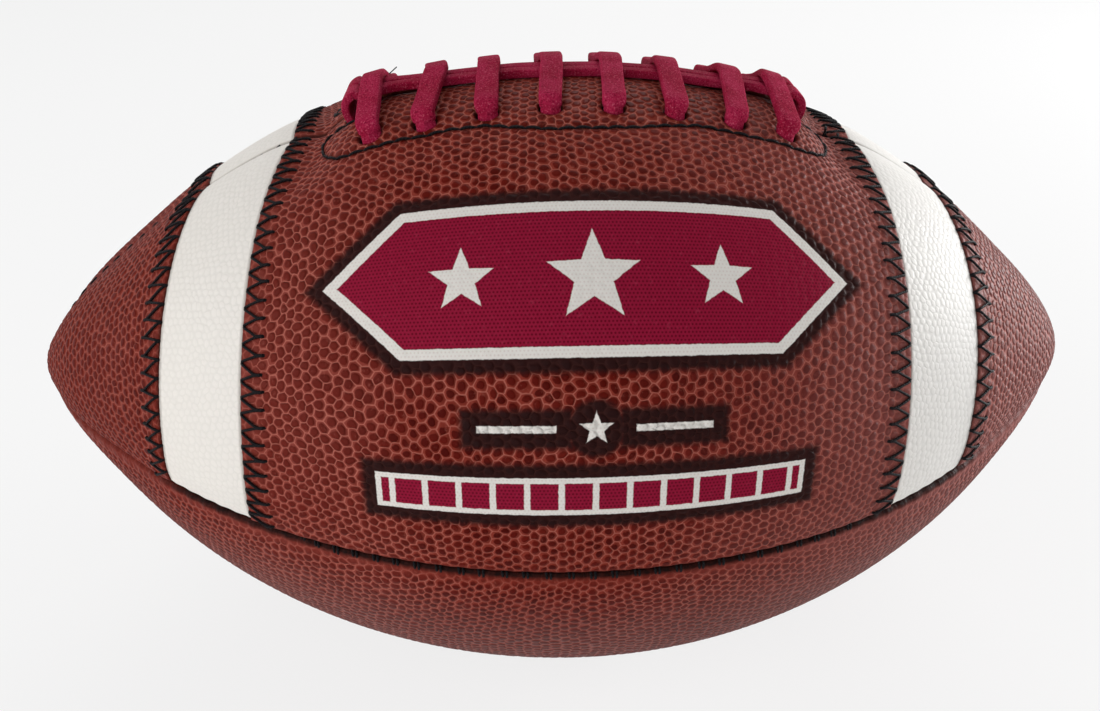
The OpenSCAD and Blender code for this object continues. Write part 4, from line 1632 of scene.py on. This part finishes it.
# A loose end of the top seam's thread stands up behind the left end of the lacing. Its points
# are in mm, with heights from the ball's axis.
looseEnd = {
    "points": ((-52.5, 8.2, 75.2), (-50.5, 8.0, 76.6), (-48.5, 7.9, 78.2), (-47.0, 8.0, 79.5),
               (-45.3, 8.1, 81.1), (-43.7, 8.0, 82.5)),
    "thread": 0.13 * mm,
}


def looseThread(settings):
    places = np.array(settings["points"]) * mm + (0.0, 0.0, axisHeight)
    ways = np.tile((0.0, 1.0, 0.0), (len(places), 1))
    piece = sweep("looseThreadEnd", places, ways, roundSection(settings["thread"]))
    dress(piece, finishes["thread"], "thread")


looseThread(looseEnd)
for sideName, side in sides.items():
    for endName, end, word, node in quarters(sideName):
        for i, (rowName, inner) in enumerate((("Inner", 1), ("Outer", -1))):
            zigzagPiece(word + rowName + "Zigzag", side, end, endName + rowName, stripeArc[i],
                        inner, node + "_" + rowName.lower() + "_zigzag")
    facingPiece(sideName + "FacingStitching", side, sideName + "_facing_thread")
whole = [(-seamEnd, seamEnd)]
seamPiece("frontSeamStitching", -1, 1, "side", whole, "front_seam_thread")
seamPiece("rearSeamStitching", 1, 1, "side", whole, "rear_seam_thread")
seamPiece("bottomSeamStitching", 1, -1, "bottom", whole, "bottom_seam_thread")
for endName, end in ends.items():
    tipKnot(endName + "TipKnot", end)
topSpans = [(-seamEnd, -openHalf), (openHalf, seamEnd)]
seamPiece("topSeamStitching", 1, 1, "top", topSpans, "top_seam_thread")
print("seams, stripes and facings stitched")

# Behind the leather: fabric linings, the two facings that the holes are punched in, the tongue,
# the bladder and its valve
backings = {
    "lining": 1.0 * mm,
    "liningEnd": 8 * mm,
    "liningMargin": 0.03,
    "cutRoom": 0.2 * mm,
    "facingTurn": 0.312,
    "liningCells": (150, 48),
    "facingCells": (140, 28),
    "holeRoom": 0.5 * mm,
    "holeGrow": 1.15,
    "weave": 0.9 * mm,
}


def canvasFinish():
    material, board = newFinish("liningCanvas")
    x, y, _ = board.split(board.uv("backUv"))
    x, y = x / backings["weave"], y / backings["weave"]
    over = (x.maths("FLOOR") + y.maths("FLOOR")).waves(1)
    cloth = x.waves(0.5) * 2 * over + y.waves(0.5) * 2 * (1 - over)
    fluff = board.noise(board.body(), 1800.0, 3.0, 0.6)
    skin = board.blend(cloth, colour(150, 138, 106), colour(206, 194, 164))
    skin = board.blend((fluff - 0.5).rise(0, 0.3) * 0.3, skin, colour(226, 218, 196))
    shine(board, skin, fluff * 0.2 + 0.75, board.bumped(cloth + fluff * 0.3, 0.2 * mm))
    return material


def plainFinish(name, low, high, scale, roughness, depth):
    # Rubber and rough leather: two tones in clouds, with a fine tooth
    material, board = newFinish(name)
    cloud = board.noise(board.body(), scale, 4.0, 0.6)
    tooth = board.noise(board.body(), scale * 22, 3.0, 0.6)
    skin = board.blend(cloud.rise(0.3, 0.7) * 0.7 + tooth * 0.3, low, high)
    shine(board, skin, tooth * 0.2 + roughness, board.bumped(tooth + cloud * 0.5, depth))
    return material


def backing(name, cells, span, turns, side, level, thickness, opening):
    # A thin layer under the leather. opening(along, across, turn) says where it is cut away.
    piece = newGrid(name, cells)
    mesh = piece.data
    share = readAll(mesh.vertices, "co", 3)[:, :2] + 0.5
    along = span[0] + (span[1] - span[0]) * share[:, 0]
    turn = turns[0] + (turns[1] - turns[0]) * share[:, 1]
    across = outAt(along, turn) * np.sin(turn)
    depth = ball["leather"] + ball["fitGap"] + (seatDip(along, turn, side) if level > 0 else 0)
    mesh.vertices.foreach_set("co", onBall(along, turn, side, level, depth).ravel())
    mesh.uv_layers[0].name = "backUv"
    corner = readAll(mesh.loops, "vertex_index", 1, int)
    layout = np.stack([along, turn * ball["flatRadius"]], -1)[corner]
    mesh.uv_layers[0].uv.foreach_set("vector", layout.ravel())
    drops = opening(along, across, turn)
    with EditMode():
        bpy.ops.mesh.select_mode(type="FACE")
        bpy.ops.mesh.select_all(action="SELECT")
        if side * level > 0:
            bpy.ops.mesh.flip_normals()
        bpy.ops.mesh.select_all(action="DESELECT")
    for face in mesh.polygons:
        face.select = bool(drops[list(face.vertices)].all())
    with EditMode():
        bpy.ops.mesh.delete(type="FACE")
    thicken(piece, thickness)
    bpy.ops.object.shade_smooth_by_angle(angle=math.radians(40))
    return piece


def liningOpening(side, level):
    def opening(along, across, turn):
        room = backings["cutRoom"]
        cut = (np.abs(along) < facingHalf + room) & (across < facing["wide"] + room)
        stem = np.hypot(along, (turn - valve["turn"]) * outAt(along, turn))
        stem = stem < valve["stem"] + ball["fitGap"]
        return (cut | (stem & (side > 0))) & (level > 0)
    return opening


def facingOpening(along, across, turn):
    halfLong, halfWide = lacing["holeSize"]
    down = (across - lacing["holeMiddle"]) / (halfWide + backings["holeRoom"])
    cut = np.zeros(len(along), bool)
    for hole in holes:
        cut |= np.hypot((along - hole) / halfLong, down) < backings["holeGrow"]
    return cut


finishes["canvas"] = canvasFinish()
finishes["rubber"] = plainFinish("bladderRubber", colour(26, 25, 27), colour(46, 44, 46),
                                 60.0, 0.5, 0.04 * mm)
finishes["plug"] = plainFinish("plugRubber", colour(112, 110, 88), colour(146, 144, 120),
                               90.0, 0.55, 0.04 * mm)
finishes["suede"] = plainFinish("facingSuede", colour(66, 30, 22), colour(104, 56, 42),
                                80.0, 0.75, 0.12 * mm)
liningEnd = endArc - backings["liningEnd"]
liningTurns = (backings["liningMargin"], quarterTurn - backings["liningMargin"])
for sideName, side in sides.items():
    for levelName, level in {"upper": 1, "lower": -1}.items():
        lining = backing(sideName + levelName.capitalize() + "Lining", backings["liningCells"],
                         (-liningEnd, liningEnd), liningTurns, side, level,
                         backings["lining"], liningOpening(side, level))
        dress(lining, finishes["canvas"], "lining_fabric", f"{sideName}_{levelName}_lining")
    strip = backing(sideName + "LaceFacing", backings["facingCells"], (-facingHalf, facingHalf),
                    (ball["fitGap"] / lobeRadius, backings["facingTurn"]), side, 1,
                    ball["facing"], facingOpening)
    dress(strip, finishes["suede"], "facing_leather", sideName + "_lace_facing")
inner = {"bladder": "rubber", "valve_body": "rubber", "valve_plug": "plug", "tongue": "suede"}
for node, finish in inner.items():
    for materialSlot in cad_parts[node].material_slots:
        materialSlot.material = finishes[finish]
print("linings, facings and bladder dressed")

stage = {
    "size": 8.0,
    "tone": (0.86, 0.86, 0.86, 1),
    "white": (1, 1, 1, 1),
    "glow": 0.78,  # how much of the floor that is seen shines by itself
    "room": 0.25,
}


def seenDirectly(board):
    # 1 for rays from the camera, and for those that a mirror or glass sends on
    rays = board.add("ShaderNodeLightPath").socket.node.outputs
    kinds = ("Is Camera Ray", "Is Glossy Ray", "Is Transmission Ray")
    direct, glossy, through = (Wire(board, rays[kind]) for kind in kinds)
    return direct.most(glossy).most(through)


def makeFloor(settings):
    bpy.ops.mesh.primitive_plane_add(size=settings["size"], location=(0, 0, 0))
    ground = bpy.context.object
    ground.name = "floor"
    material, board = newFinish("paleFloor")
    matt = board.add("ShaderNodeBsdfDiffuse", {}, {"Color": settings["tone"]})
    glow = board.add("ShaderNodeEmission", {}, {"Color": settings["white"], "Strength": 1.0})
    seen = seenDirectly(board) * settings["glow"]
    board.end("ShaderNodeOutputMaterial", board.add("ShaderNodeMixShader", {}, [seen, matt, glow]))
    ground.data.materials.append(material)


def makeRoom(settings):
    world = bpy.data.worlds.new("paleRoom")
    bpy.context.scene.world = world
    world.use_nodes = True
    board = Board(world.node_tree)
    soft, white = (
        board.add("ShaderNodeBackground", {}, {"Color": settings["white"], "Strength": strength})
        for strength in (settings["room"], 1.0))
    mixed = board.add("ShaderNodeMixShader", {}, [seenDirectly(board), soft, white])
    board.end("ShaderNodeOutputWorld", mixed)


makeFloor(stage)
makeRoom(stage)
